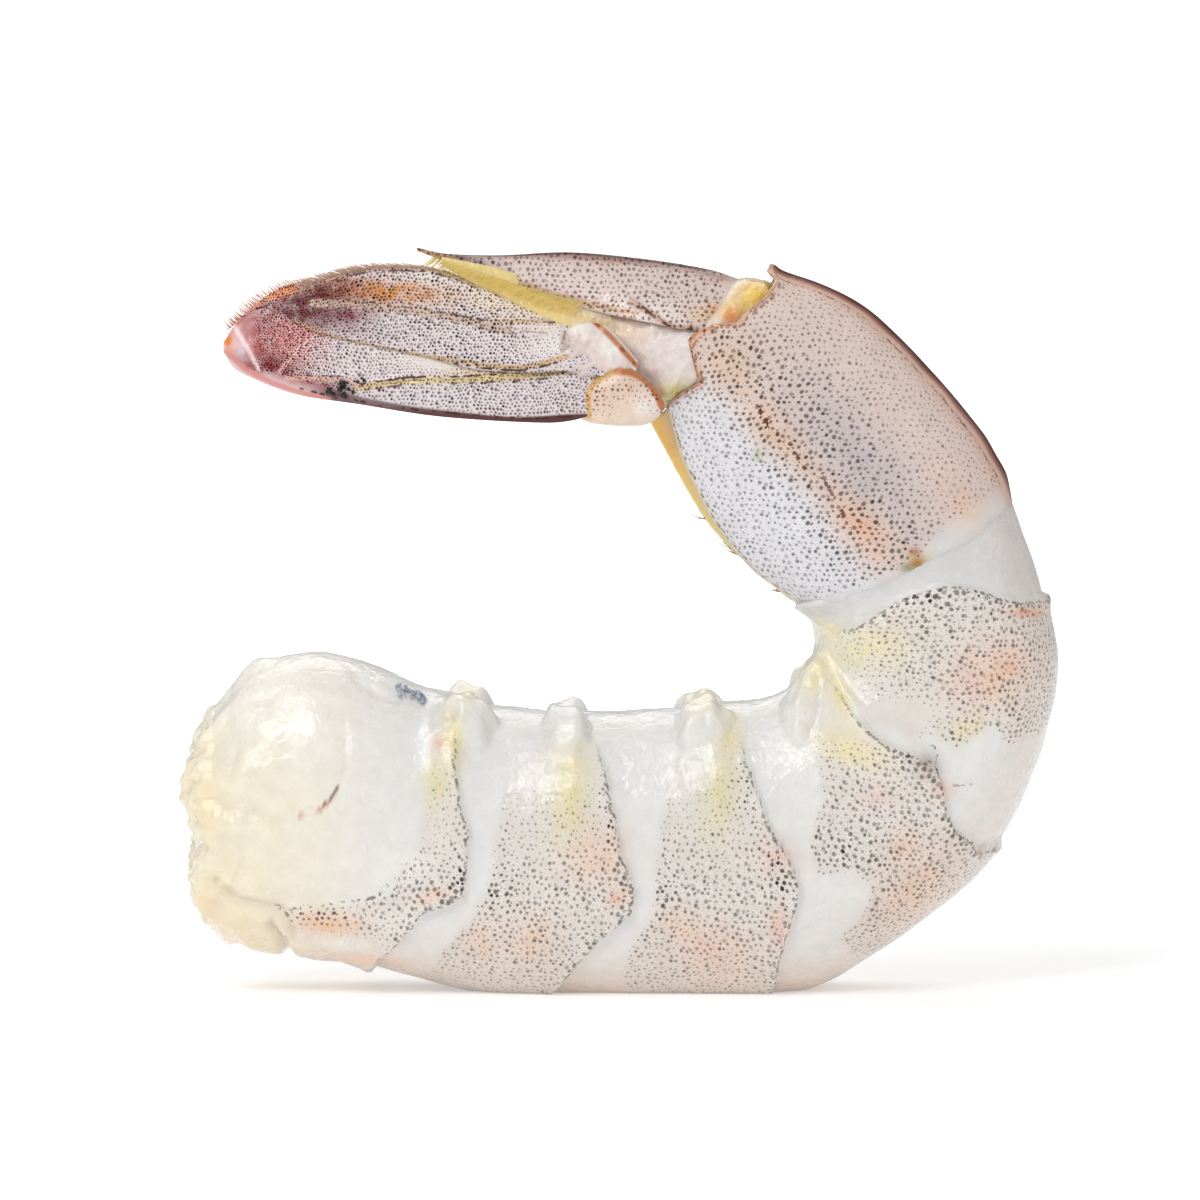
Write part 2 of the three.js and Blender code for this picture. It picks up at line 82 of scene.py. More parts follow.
# Ribs of each loft: belly x and z, back x and z, and half the width.
BODY = (
    (-27.3, 18.9, -27.3, 4.0, 6.5),
    (-24.9, 21.3, -25.0, 2.5, 7.2),
    (-21.0, 22.4, -20.8, 2.1, 7.5),
    (-16.6, 21.6, -17.0, 1.7, 7.6),
    (-11.3, 19.6, -11.9, 0.3, 7.6),
    (-3.6, 18.6, -3.6, -0.6, 7.6),
    (5.2, 19.0, 6.8, -0.6, 7.5),
    (9.7, 19.6, 12.9, 0.1, 7.4),
    (11.9, 20.8, 19.6, 4.4, 7.2),
    (12.9, 22.4, 25.8, 10.8, 7.0),
    (13.0, 23.5, 28.9, 19.4, 6.8),
    (12.4, 25.2, 28.3, 25.5, 6.4),
    (10.5, 26.9, 27.0, 30.2, 6.1),
    (6.6, 31.0, 23.8, 37.1, 5.6),
    (3.3, 37.7, 16.3, 45.2, 4.9),
    (2.7, 39.2, 9.7, 48.2, 4.4),
)
JOINT = (
    (6.5, 38.8, 11.4, 46.9, 3.3),
    (4.6, 38.9, 9.6, 47.6, 3.7),
    (3.0, 38.9, 7.8, 47.7, 3.8),
    (2.2, 39.2, 6.0, 45.9, 3.7),
    (1.0, 40.6, 3.8, 45.6, 3.2),
    (-0.8, 42.4, 1.0, 45.6, 2.7),
    (-2.8, 44.2, -2.0, 45.8, 1.9),
)
TELSON = (
    (7.5, 45.3, 7.8, 47.6, 2.9),
    (5.2, 44.3, 5.6, 48.3, 3.3),
    (1.7, 44.8, 1.1, 49.0, 2.9),
    (-2.5, 45.7, -3.6, 49.4, 2.1),
    (-7.6, 47.3, -8.2, 49.2, 1.3),
    (-11.6, 48.7, -11.7, 49.3, 0.6),
    (-13.6, 49.45, -13.7, 49.7, 0.25),
)
# A uropod's root has two lobes: a rounded lower one, and a soft white one above it.
ROOT_LOBE = (
    (2.75, 39.0, 2.7, 39.6, 0.4),
    (2.3, 38.4, 2.3, 40.4, 0.8),
    (1.5, 38.0, 1.4, 41.2, 1.05),
    (0.2, 37.9, 0.0, 42.1, 1.2),
    (-1.3, 38.0, -1.2, 41.5, 1.1),
    (-2.4, 38.2, -2.4, 40.7, 0.85),
    (-3.1, 38.7, -3.2, 39.9, 0.5),
)
WHITE_LOBE = (
    (0.8, 41.5, 1.0, 42.3, 0.5),
    (-0.2, 41.3, 0.1, 43.4, 0.85),
    (-1.6, 41.2, -1.1, 44.6, 0.95),
    (-3.0, 41.2, -2.8, 44.8, 0.8),
    (-4.1, 41.9, -4.2, 44.0, 0.5),
)
ENDOPOD = (
    (-1.2, 41.2, -1.4, 44.2, 0.8),
    (-3.5, 41.6, -3.5, 44.5, 0.9),
    (-6.2, 41.5, -6.2, 45.6, 1.0),
    (-9.7, 41.7, -9.2, 47.0, 1.0),
    (-12.9, 42.5, -12.3, 48.2, 1.0),
    (-16.3, 43.2, -15.9, 48.4, 1.0),
    (-19.6, 43.9, -19.3, 47.8, 0.9),
    (-21.6, 44.7, -21.6, 46.9, 0.8),
    (-22.6, 45.5, -22.6, 46.1, 0.6),
)
EXOPOD = (
    (-1.2, 39.0, -1.2, 42.1, 0.7),
    (-3.5, 38.3, -3.5, 42.2, 0.9),
    (-6.2, 38.2, -6.9, 42.2, 1.0),
    (-12.3, 38.6, -12.3, 43.9, 1.0),
    (-17.6, 39.4, -17.6, 46.2, 1.0),
    (-21.6, 40.0, -21.6, 47.3, 0.95),
    (-24.2, 40.9, -23.9, 46.4, 0.85),
    (-25.8, 41.7, -25.7, 44.8, 0.75),
    (-26.5, 42.7, -26.5, 43.6, 0.6),
)
# Yellow membrane that hangs from the telson's edge down to the fan, on each side.
FAN_MEMBRANE = (
    (-0.5, 44.0, -0.5, 44.7, 0.3),
    (-1.2, 43.6, -1.2, 45.8, 0.8),
    (-2.6, 43.9, -2.6, 46.4, 1.0),
    (-5.0, 44.5, -5.0, 47.1, 0.9),
    (-7.6, 45.8, -7.4, 48.1, 0.8),
    (-9.6, 47.1, -9.4, 48.6, 0.6),
    (-12.0, 48.5, -12.0, 49.1, 0.5),
)

# Front and rear edges of the five segment plates: (flank share from the back, station) pairs.
PLATES = (
    (
        (
            (0, 2.7), (0.03, 2.12), (0.09, 1.78), (0.17, 1.6), (0.2, 2.1), (0.22, 2.7),
            (0.26, 3.08), (0.3, 3.23), (0.4, 3.39), (0.45, 3.54), (0.73, 3.69), (1, 3.8),
        ),
        (
            (0, 3.05), (0.07, 3.18), (0.11, 3.33), (0.17, 3.56), (0.27, 3.76), (0.3, 3.92),
            (0.35, 4.17), (0.47, 4.21), (0.57, 4.18), (0.65, 4.13), (0.76, 4.07), (1, 4.05),
        ),
    ),
    (
        (
            (0, 3.76), (0.07, 3.81), (0.15, 3.91), (0.29, 4.2), (0.42, 4.32), (0.6, 4.38),
            (0.74, 4.44), (0.82, 4.58), (1, 4.79),
        ),
        ((0, 4.82), (0.2, 5.14), (0.33, 5.4), (0.4, 5.45), (0.6, 5.34), (0.8, 5.28), (1, 5.17)),
    ),
    (
        ((0, 5.32), (0.12, 5.31), (0.18, 5.33), (0.32, 5.5), (0.46, 5.53), (0.81, 5.63), (1, 5.82)),
        ((0, 6.46), (0.2, 6.72), (0.37, 7.02), (0.43, 7.02), (0.6, 6.74), (0.8, 6.51), (1, 6.42)),
    ),
    (
        (
            (0, 7.42), (0.15, 7.25), (0.17, 7.55), (0.24, 7.71), (0.33, 7.6), (0.39, 7.16),
            (0.5, 7.15), (0.57, 7.28), (0.62, 7.5), (0.87, 7.52), (1, 7.9),
        ),
        (
            (0, 8.9), (0.07, 8.74), (0.2, 8.71), (0.31, 8.86), (0.4, 9.05), (0.48, 8.96),
            (0.6, 8.8), (0.72, 8.66), (0.8, 8.75), (1, 9.0),
        ),
    ),
    (
        (
            (0, 9.72), (0.16, 9.5), (0.25, 9.59), (0.35, 9.23), (0.47, 9.2), (0.53, 8.98),
            (0.62, 8.85), (0.72, 8.72), (0.8, 9.0), (0.88, 9.3), (1, 10.1),
        ),
        (
            (0, 11.2), (0.12, 11.17), (0.18, 11.28), (0.35, 11.59), (0.44, 11.62), (0.52, 11.58),
            (0.6, 11.43), (0.7, 11.12), (0.82, 10.72), (1, 10.4),
        ),
    ),
)
SHELL_FRONT = (
    (0, 12.36), (0.2, 12.18), (0.4, 12.0), (0.6, 11.83), (0.8, 11.58), (1, 11.28),
)
# Rear edge of the shell, in millimetres past the last rib: a spine, a notch and a flank lobe.
SHELL_REAR = (
    (0, 0.1), (0.012, -0.1), (0.04, -0.75), (0.15, -0.88), (0.24, -0.5), (0.35, -0.35),
    (0.38, -0.15), (0.43, 0.65), (0.53, 1.08), (0.61, 0.94), (0.66, 0.46), (0.72, -0.28),
    (0.77, -0.8), (0.83, -0.48), (0.92, -0.14), (1, -0.2),
)

# Soft swellings on both flanks: centre x and z, half size along and across, turn, and height.
SWELLINGS = (
    (-20.8, 17.4, 4.0, 4.2, 0.0, 0.8),
    (-11.6, 16.4, 1.3, 3.0, 0.1, 0.7),
    (-3.4, 13.4, 1.9, 3.4, -0.1, 0.6),
    (6.2, 15.1, 1.7, 3.0, -0.1, 0.6),
    (15.8, 18.6, 1.8, 3.2, 0.5, 0.6),
    (15.6, 23.2, 2.6, 1.5, 0.3, 0.5),
    (-18.0, 3.6, 4.4, 1.8, -0.05, 0.45),
)
# Torn stubs of the swimming legs, in pairs along the belly: x, half length, and height.
STUBS = ((-10.2, 1.2, 1.4), (-3.7, 1.1, 1.2), (5.3, 1.4, 1.3), (12.0, 1.1, 0.7))
STUB_SPREAD = 3.3
STUB_WIDE = 1.5
# Lobes of muscle on the cut face: y, z, half size and height.
FACE_LOBES = (
    (-2.6, 13.8, 2.4, 1.2),
    (3.0, 15.6, 2.7, 0.9),
    (0.2, 8.2, 1.6, 0.6),
    (-3.6, 7.0, 1.9, 0.7),
    (3.7, 8.0, 2.3, 0.8),
)

# Creases and wet ridges of the torn muscle near the cut end: points x and z, half width, and
# height, below 0 for a crease.
FOLDS = (
    (((-18.5, 17.4), (-18.5, 15.7), (-19.0, 13.9), (-19.9, 12.9), (-21.2, 12.4), (-23.0, 12.3)), 0.35, -0.16),
    (((-27.9, 14.5), (-25.7, 13.9), (-23.6, 13.0), (-22.1, 12.6)), 0.4, 0.25),
    (((-27.0, 7.6), (-25.7, 6.4), (-24.2, 6.2), (-22.6, 5.7), (-21.9, 4.2)), 0.35, -0.4),
    (((-26.2, 18.4), (-25.6, 16.6), (-25.9, 14.9)), 0.35, -0.25),
    (((-17.9, 21.0), (-16.2, 19.9), (-14.8, 19.6)), 0.3, -0.3),
    (((-23.4, 4.9), (-22.6, 3.4), (-22.3, 1.9)), 0.35, -0.6),
    (((-27.6, 11.8), (-25.9, 10.9), (-24.4, 11.2)), 0.5, -0.25),
    (((-28.2, 4.4), (-26.4, 4.2), (-25.6, 2.6)), 0.4, -0.3),
    (((-27.4, 15.6), (-25.4, 15.0), (-24.0, 14.0), (-22.6, 13.6)), 0.22, 0.2),
    (((-18.0, 18.2), (-17.9, 16.2), (-18.5, 13.8), (-19.6, 12.4), (-21.4, 11.9)), 0.4, 0.1),
    (((-27.4, 6.6), (-26.2, 8.0), (-25.6, 9.4), (-25.9, 10.4)), 0.3, 0.25),
    (((-24.6, 5.4), (-23.4, 5.0), (-22.6, 4.2)), 0.2, 0.2),
    (((12.0, 25.7), (13.2, 24.9), (14.7, 24.2), (17.0, 24.9), (19.2, 23.8)), 0.35, 0.3),
    (((13.8, 22.5), (14.7, 20.6), (15.5, 19.4), (16.1, 18.0)), 0.35, 0.3),
    (((11.6, 17.4), (12.2, 19.6), (13.2, 21.6)), 0.4, 0.35),
    (((4.6, 13.0), (4.0, 15.2), (4.4, 16.8), (5.6, 17.8), (7.2, 17.2)), 0.45, 0.18),
    (((-5.3, 12.6), (-5.5, 14.6), (-4.6, 16.2), (-2.6, 16.4)), 0.45, 0.14),
    (((-13.0, 17.6), (-12.8, 19.0), (-11.4, 19.2)), 0.3, 0.2),
)


# ---------------------------------------------------------------------------------------------
# Looks: patches of colour on the flanks
# ---------------------------------------------------------------------------------------------

def colour(code):
    """A web colour as linear red, green and blue."""
    channels = [((code >> shift) & 255) / 255 for shift in (16, 8, 0)]
    return tuple(c / 12.92 if c <= 0.04045 else ((c + 0.055) / 1.055) ** 2.4 for c in channels)


GLAND = colour(0xEEE2AC)
GLAND_OLIVE = colour(0xE2DAAC)
BLUSH = colour(0xF2C09A)
BLUSH_RED = colour(0xEAA27A)
BROWN = colour(0x8A5A3C)
CREAM = colour(0xF6E9C6)
CREAM_DEEP = colour(0xF0DCA6)
# Pearly white of the tissue, also laid as a painted highlight.
PEARL_AND_HIGHLIGHT = colour(0xF6F3EE)
ROSE = colour(0xE8C8B8)
# Painted warm shade for the flesh near its back and the floor.
WARM_SHADE = colour(0xE0C6B0)
YELLOW = colour(0xF2C440)
ORANGE = colour(0xE8883C)
LILAC = colour(0xDCD2DC)
WINE = colour(0x8A2A34)
BLACK = colour(0x1B1A1C)
RUST = colour(0xB06C30)

# Each patch: centre x and z, half size along and across, turn, colour, strength.
FLESH_PATCHES = (
    # Glands showing yellow through the plates' upper halves.
    (-11.3, 17.2, 0.8, 2.0, 0.1, GLAND, 0.9),
    (-12.4, 14.4, 0.9, 1.5, 0.0, GLAND_OLIVE, 0.85),
    (-3.5, 13.2, 1.3, 2.9, -0.1, GLAND_OLIVE, 0.85),
    (-3.3, 15.6, 1.6, 1.0, -0.2, GLAND, 0.4),
    (6.5, 13.6, 1.2, 2.7, -0.12, GLAND_OLIVE, 0.85),
    (7.2, 17.2, 0.8, 1.5, -0.2, GLAND, 0.6),
    (15.2, 16.6, 2.4, 1.1, -0.35, GLAND, 0.8),
    (14.6, 20.0, 0.8, 1.7, 0.3, GLAND, 0.8),
    (16.6, 23.3, 2.6, 1.5, 0.2, GLAND, 0.6),
    (22.8, 18.0, 1.3, 0.7, 0.4, GLAND, 0.6),
    # Orange, pink and pearly blushes.
    (-19.6, 4.9, 2.1, 0.7, -0.05, BLUSH, 0.75),
    (-17.2, 2.4, 2.6, 0.5, -0.1, BLUSH, 0.5),
    (-12.6, 7.0, 1.3, 0.45, 0.2, BLUSH, 0.45),
    (-13.8, 8.8, 1.8, 0.9, 0.1, PEARL_AND_HIGHLIGHT, 0.55),
    (-18.6, 3.5, 2.3, 0.6, -0.1, PEARL_AND_HIGHLIGHT, 0.6),
    (-14.6, 4.9, 1.6, 0.8, 0.0, PEARL_AND_HIGHLIGHT, 0.4),
    (-12.3, 17.0, 0.4, 0.4, 0.0, BLUSH_RED, 0.6),
    (-9.5, 3.8, 1.3, 1.4, 0.0, BLUSH, 0.32),
    (-6.0, 3.9, 1.8, 1.6, 0.4, BLUSH, 0.4),
    (-0.3, 6.8, 0.8, 0.5, 0.6, BLUSH_RED, 0.5),
    (-1.6, 9.6, 2.2, 1.8, 0.6, BLUSH, 0.4),
    (6.0, 3.3, 2.8, 1.8, -0.2, BLUSH, 0.42),
    (3.6, 5.2, 1.4, 1.0, -0.4, BLUSH, 0.28),
    (10.3, 9.4, 1.6, 1.3, 0.0, ROSE, 0.55),
    (10.4, 4.9, 0.7, 1.3, 0.1, BLUSH_RED, 0.4),
    (19.5, 7.2, 3.4, 2.0, 0.8, BLUSH, 0.42),
    (18.6, 10.2, 1.3, 1.2, 0.8, BLUSH, 0.4),
    (17.0, 13.5, 1.4, 0.7, 0.0, ROSE, 0.5),
    (24.8, 21.7, 2.5, 2.2, 0.2, BLUSH, 0.55),
    (25.6, 22.2, 1.0, 0.8, 0.2, BLUSH_RED, 0.2),
    (22.6, 21.2, 1.6, 1.3, 0.0, ROSE, 0.5),
    (27.0, 25.6, 1.5, 0.35, -0.1, BLUSH_RED, 0.7),
    # Yellow tips of the leg stubs and folds of the inner bend, and brown spots beside them.
    (-10.0, 20.3, 1.3, 0.8, 0.0, GLAND, 0.45),
    (5.3, 19.6, 1.5, 0.8, 0.0, GLAND, 0.45),
    (12.9, 21.6, 1.0, 1.9, -0.3, GLAND, 0.7),
    (14.6, 22.4, 1.1, 0.6, 0.3, GLAND_OLIVE, 0.5),
    (13.6, 24.4, 1.6, 0.7, -0.4, GLAND, 0.7),
    (20.2, 15.6, 0.9, 0.9, 0.0, BROWN, 0.4),
    (21.4, 13.9, 0.9, 0.7, 0.0, BLUSH_RED, 0.3),
)
# Where a plate has fewer dots: centre x and z, half size along and across, turn, share lost.
BARE_PATCHES = (
    (18.2, 18.6, 2.5, 1.2, 0.15, 1.3),
    (11.9, 5.2, 0.7, 1.9, 0.2, 1.0),
    (-4.2, 15.6, 2.2, 1.3, 0.0, 0.8),
    (4.4, 15.8, 1.4, 1.6, 0.0, 0.8),
    (-13.6, 11.4, 1.2, 1.2, 0.0, 0.5),
    (14.6, 18.8, 1.8, 1.5, 0.0, 0.6),
)
# Where a plate's dots are darkest, in the same order.
DARK_PATCHES = (
    (-8.9, 7.2, 2.0, 1.6, 0.0, 0.9),
    (-10.8, 8.0, 0.9, 1.0, 0.0, 0.9),
    (2.2, 6.6, 1.6, 1.4, 0.0, 0.75),
    (14.6, 9.6, 2.2, 1.4, 0.0, 0.55),
    (-1.0, 11.8, 0.8, 2.6, 0.3, 0.8),
    (8.0, 14.0, 0.8, 2.2, 0.2, 0.9),
    (10.3, 8.2, 0.9, 2.0, 0.0, 1.0),
    (19.6, 26.6, 3.0, 0.9, 0.1, 0.8),
    (19.9, 16.5, 1.8, 0.8, 0.3, 0.8),
    (-20.6, 5.8, 2.0, 0.6, 0.0, 0.9),
)
# How dotted each plate is, from the back to the belly.
DOT_PROFILES = (
    ((0, 0.1), (0.1, 0.25), (0.16, 0.9), (0.35, 1.0), (0.5, 0.8), (0.7, 0.6), (0.85, 0.35), (1, 0)),
    ((0, 0.6), (0.12, 0.9), (0.4, 1.0), (0.55, 0.8), (0.7, 0.6), (0.85, 0.4), (1, 0)),
    ((0, 0.6), (0.12, 0.9), (0.4, 1.0), (0.55, 0.8), (0.7, 0.65), (0.88, 0.4), (1, 0)),
    ((0, 0.8), (0.12, 1.0), (0.5, 1.0), (0.7, 0.8), (0.88, 0.5), (1, 0)),
    ((0, 0.9), (0.12, 1.0), (0.5, 1.0), (0.7, 0.9), (0.88, 0.6), (1, 0.1)),
)
# Short dark marks on the flesh: points x and z, and strength.
FLESH_MARKS = (
    (((-22.6, 5.8), (-21.0, 6.1), (-18.2, 6.4), (-16.4, 6.8), (-15.7, 7.6)), 0.8),
    (((-22.9, 6.2), (-22.3, 5.5), (-21.9, 4.6)), 0.7),
    (((20.6, 17.0), (20.9, 16.2)), 0.8),
    (((22.0, 14.2), (23.3, 14.2)), 0.5),
)

# Veins in the muscle: points x and z, half width, colour, strength.
FLESH_BANDS = (
    (((-18.9, 14.2), (-19.2, 13.5), (-19.9, 12.9)), 0.1, colour(0x8A4A3A), 0.9),
    (((-19.3, 13.2), (-20.2, 12.6), (-21.4, 12.3)), 0.09, colour(0xD8A890), 0.8),
)

SHELL_PATCHES = (
    (22.5, 30.2, 3.4, 1.1, 0.3, colour(0xE4E0DE), 0.6),
    (10.9, 37.1, 7.0, 1.1, -0.87, colour(0xDDB498), 0.45),
    (15.9, 31.3, 2.3, 1.2, -0.8, colour(0xEEB994), 0.75),
    (19.6, 28.9, 1.0, 0.8, 0.0, colour(0xCDBB86), 0.8),
    (19.6, 28.9, 0.5, 0.4, 0.3, colour(0xB07424), 1.0),
    (18.9, 28.6, 0.4, 0.3, 0.0, colour(0x6E6A3A), 0.8),
    (19.4, 29.7, 0.35, 0.3, 0.0, RUST, 0.9),
    (8.2, 42.5, 3.0, 2.2, 0.4, colour(0xDCC4B8), 0.5),
    (6.6, 42.0, 1.8, 1.6, 0.4, colour(0xE0BC9C), 0.5),
    (15.4, 36.0, 5.4, 2.0, -0.85, colour(0xC2B9BC), 0.7),
    (22.4, 33.0, 3.0, 1.2, -1.0, colour(0xE2C2AE), 0.6),
    (11.0, 32.0, 3.2, 1.6, -0.9, colour(0xE6E6EC), 0.6),
    (9.6, 37.4, 2.4, 0.9, -0.85, colour(0xE2BC98), 0.45),
    (9.0, 36.0, 0.4, 0.4, 0.0, colour(0xB8B088), 0.6),
)
SHELL_MARKS = (
    (((9.0, 39.6), (9.1, 39.0), (9.5, 38.4), (9.8, 38.0)), 1.0),
    (((10.4, 37.4), (10.7, 37.1)), 0.8),
    (((11.1, 36.9), (11.4, 36.3), (11.9, 35.5), (12.1, 35.2)), 1.0),
    (((13.3, 34.7), (13.9, 33.5), (14.5, 32.4), (15.1, 31.2)), 0.9),
)

TELSON_PATCHES = (
    (7.6, 46.8, 0.6, 0.9, 0.0, PEARL_AND_HIGHLIGHT, 0.5),
    (2.6, 45.4, 1.6, 0.7, -0.4, PEARL_AND_HIGHLIGHT, 0.5),
    (6.2, 45.4, 0.55, 0.5, 0.0, ORANGE, 1.0),
    (5.6, 45.3, 1.2, 0.6, 0.0, colour(0xE8C49A), 0.7),
    (-12.2, 49.3, 3.0, 0.6, -0.2, colour(0x5B4A4C), 0.9),
    (0.8, 48.9, 6.0, 0.3, -0.05, colour(0xB07C6C), 0.7),
    (5.9, 48.0, 2.0, 0.4, -0.35, colour(0xB8907C), 0.7),
)
TELSON_MARKS = (
    (((-13.6, 49.6), (-9.4, 48.2), (-5.0, 46.6), (-2.1, 45.9), (0.8, 45.2)), 0.9),
    (((0.6, 46.2), (1.2, 45.9), (1.9, 45.4), (2.6, 44.9), (3.4, 44.5), (4.6, 44.4)), 1.0),
)

# Bands along a piece: points x and z, half width, colour, strength.
TELSON_BANDS = (
    (((-13.7, 49.55), (-9.4, 48.3), (-5.0, 46.75), (-2.1, 46.0), (0.8, 45.4)), 0.22, colour(0xC89A62), 0.7),
    (((0.6, 46.2), (1.9, 45.4), (2.6, 44.9), (3.4, 44.5), (4.6, 44.4)), 0.2, colour(0xC09A80), 0.8),
)

ENDOPOD_PATCHES = (
    (-7.5, 46.2, 4.2, 1.3, -0.3, colour(0xF6E4CE), 0.95),
    (-12.5, 47.4, 3.0, 0.7, -0.1, colour(0xF4EAE4), 0.9),
    (-15.6, 46.8, 3.8, 0.75, -0.05, colour(0xDA9048), 1.0),
    (-18.8, 46.9, 1.9, 0.7, 0.1, colour(0xB86838), 0.9),
    (-20.3, 47.2, 2.4, 0.8, 0.5, colour(0xA8604E), 0.9),
    (-20.8, 45.9, 2.6, 1.7, 0.3, colour(0x6A161C), 1.0),
    (-18.8, 45.3, 2.4, 0.8, 0.1, colour(0x843A3E), 0.9),
    (-18.2, 44.4, 2.0, 0.6, -0.3, colour(0xC0A8B0), 0.6),
    (-20.6, 44.2, 1.5, 0.35, -0.3, colour(0xD49A90), 0.7),
    (-9.0, 43.2, 4.5, 0.7, -0.15, colour(0xE9DEDE), 0.7),
    (-4.2, 43.6, 1.4, 0.9, 0.0, PEARL_AND_HIGHLIGHT, 0.7),
)
ENDOPOD_BANDS = (
    (
        ((-20.6, 46.1), (-17.9, 46.0), (-15.3, 45.75), (-12.1, 45.25), (-9.4, 44.75), (-7.6, 44.3)),
        0.24, colour(0xD2B4A0), 0.8,
    ),
    (
        (
            (-21.9, 44.9), (-20.4, 44.1), (-18.2, 43.55), (-14.2, 42.75), (-10.8, 42.25), (-8.6, 41.95),
            (-6.4, 41.9), (-3.7, 42.6),
        ),
        0.16, colour(0xCDAA7C), 0.85,
    ),
    (
        ((-21.5, 46.9), (-19.5, 47.7), (-17.0, 48.3), (-14.0, 48.4), (-12.3, 48.2), (-9.5, 47.2)),
        0.18, colour(0xC09C84), 0.85,
    ),
    (((-8.4, 44.9), (-5.0, 44.9), (-2.2, 44.9)), 0.12, colour(0xD0AC80), 0.7),
)
ENDOPOD_MARKS = (
    (((-22.3, 45.2), (-20.9, 44.2), (-19.2, 43.6)), 0.8),
    (((-20.4, 46.35), (-17.9, 46.25), (-15.3, 45.98), (-12.1, 45.5), (-9.4, 45.0), (-7.3, 44.5)), 0.8),
    (((-19.5, 45.7), (-17.8, 45.75), (-13.7, 45.2), (-12.1, 44.95), (-9.4, 44.45), (-7.3, 44.0)), 0.7),
    (
        (
            (-20.4, 43.9), (-18.2, 43.35), (-14.2, 42.55), (-10.8, 42.05), (-8.6, 41.75), (-6.4, 41.7),
            (-3.7, 42.4),
        ),
        0.95,
    ),
    (((-20.6, 47.1), (-19.0, 47.7), (-17.0, 48.1), (-14.0, 48.2), (-12.3, 48.0), (-9.5, 47.0)), 0.8),
    (((-8.2, 44.8), (-5.0, 44.8), (-2.2, 44.8)), 0.8),
    (((-8.0, 44.2), (-6.4, 44.25), (-5.0, 44.1)), 0.4),
)

EXOPOD_PATCHES = (
    (-23.2, 43.6, 2.6, 2.4, 0.0, colour(0xDA8A84), 1.0),
    (-21.6, 44.4, 2.4, 1.4, 0.3, colour(0xD48480), 0.8),
    (-22.4, 46.0, 2.6, 0.8, 0.5, colour(0xA04848), 0.9),
    (-23.2, 42.0, 1.7, 0.7, -0.2, WINE, 0.9),
    (-25.0, 42.2, 0.8, 0.4, -0.6, WINE, 0.7),
    (-20.6, 40.8, 2.2, 0.5, -0.2, colour(0xB06A70), 0.8),
    (-26.3, 43.6, 0.35, 0.8, 0.2, ORANGE, 1.0),
    (-25.3, 43.0, 0.35, 0.45, 0.2, LILAC, 0.8),
    (-24.6, 44.4, 1.0, 1.6, 0.3, colour(0xA84A50), 0.8),
    (-12.0, 42.35, 3.0, 0.8, -0.05, colour(0xEDE4DC), 0.8),
    (-7.4, 41.6, 3.6, 0.45, 0.05, colour(0xEAD09A), 0.8),
    (-11.0, 39.9, 6.0, 0.6, 0.0, colour(0xE6DFE2), 0.5),
)
EXOPOD_BANDS = (
    (((-26.3, 44.7), (-25.2, 45.9), (-23.8, 46.6), (-22.0, 47.0)), 0.42, colour(0xF59A6C), 0.95),
    (((-25.8, 44.4), (-24.9, 43.0), (-24.2, 41.7)), 0.14, colour(0xF4D8D8), 0.9),
    (((-20.7, 43.8), (-22.4, 42.1), (-22.9, 41.4)), 0.14, colour(0xEFB8B4), 0.9),
    (((-26.4, 42.8), (-24.6, 41.4), (-22.0, 40.35), (-19.5, 39.7)), 0.16, colour(0xD88A84), 0.85),
    (
        ((-17.7, 40.5), (-15.8, 40.8), (-14.2, 40.95), (-10.3, 41.05), (-6.4, 41.3), (-3.4, 41.7)),
        0.2, colour(0xE0C690), 0.9,
    ),
    # A pinkish white painted highlight along the blade beside the grit.
    (((-22.3, 41.2), (-19.0, 41.0), (-17.2, 40.7)), 0.16, colour(0xE8B8A8), 0.8),
)
EXOPOD_MARKS = (
    (((-25.9, 44.3), (-25.0, 45.4), (-23.8, 45.85), (-22.3, 46.2)), 1.0),
    (((-17.4, 40.75), (-15.3, 41.05), (-14.2, 41.2), (-10.3, 41.28), (-6.4, 41.55), (-3.4, 42.0)), 0.95),
    (((-17.7, 40.25), (-16.3, 40.45), (-14.2, 40.7), (-10.3, 40.82), (-5.8, 41.05), (-3.4, 41.4)), 0.8),
    (((-21.6, 41.35), (-19.0, 41.25), (-17.6, 41.4), (-16.1, 41.55)), 0.7),
    (
        (
            (-21.6, 40.5), (-19.6, 40.0), (-17.4, 39.6), (-14.2, 39.1), (-10.3, 38.75), (-6.4, 38.5),
            (-3.4, 38.6),
        ),
        0.9,
    ),
)

ROOT_PATCHES = (
    (-3.0, 40.0, 0.3, 1.8, 0.0, colour(0xE2C27A), 0.9),
    (1.6, 39.2, 1.1, 1.0, 0.0, PEARL_AND_HIGHLIGHT, 0.6),
    (-1.0, 38.4, 2.5, 0.5, 0.0, colour(0xF0DECB), 0.6),
)
ROOT_BANDS = (
    (((-2.3, 38.7), (-2.35, 39.9), (-1.95, 40.8), (-1.1, 41.4), (-0.4, 41.6)), 0.24, colour(0xD8A858), 0.9),
    (((-0.4, 41.6), (0.6, 41.5), (1.5, 41.0), (2.2, 40.2), (2.65, 39.2)), 0.22, colour(0xC0702E), 0.95),
)
ROOT_MARKS = (
    (((-2.7, 41.0), (-1.9, 41.5), (-0.9, 41.8), (0.5, 41.8)), 0.7),
    (((0.7, 41.9), (1.5, 41.4), (2.2, 40.7), (2.6, 39.5)), 0.9),
)
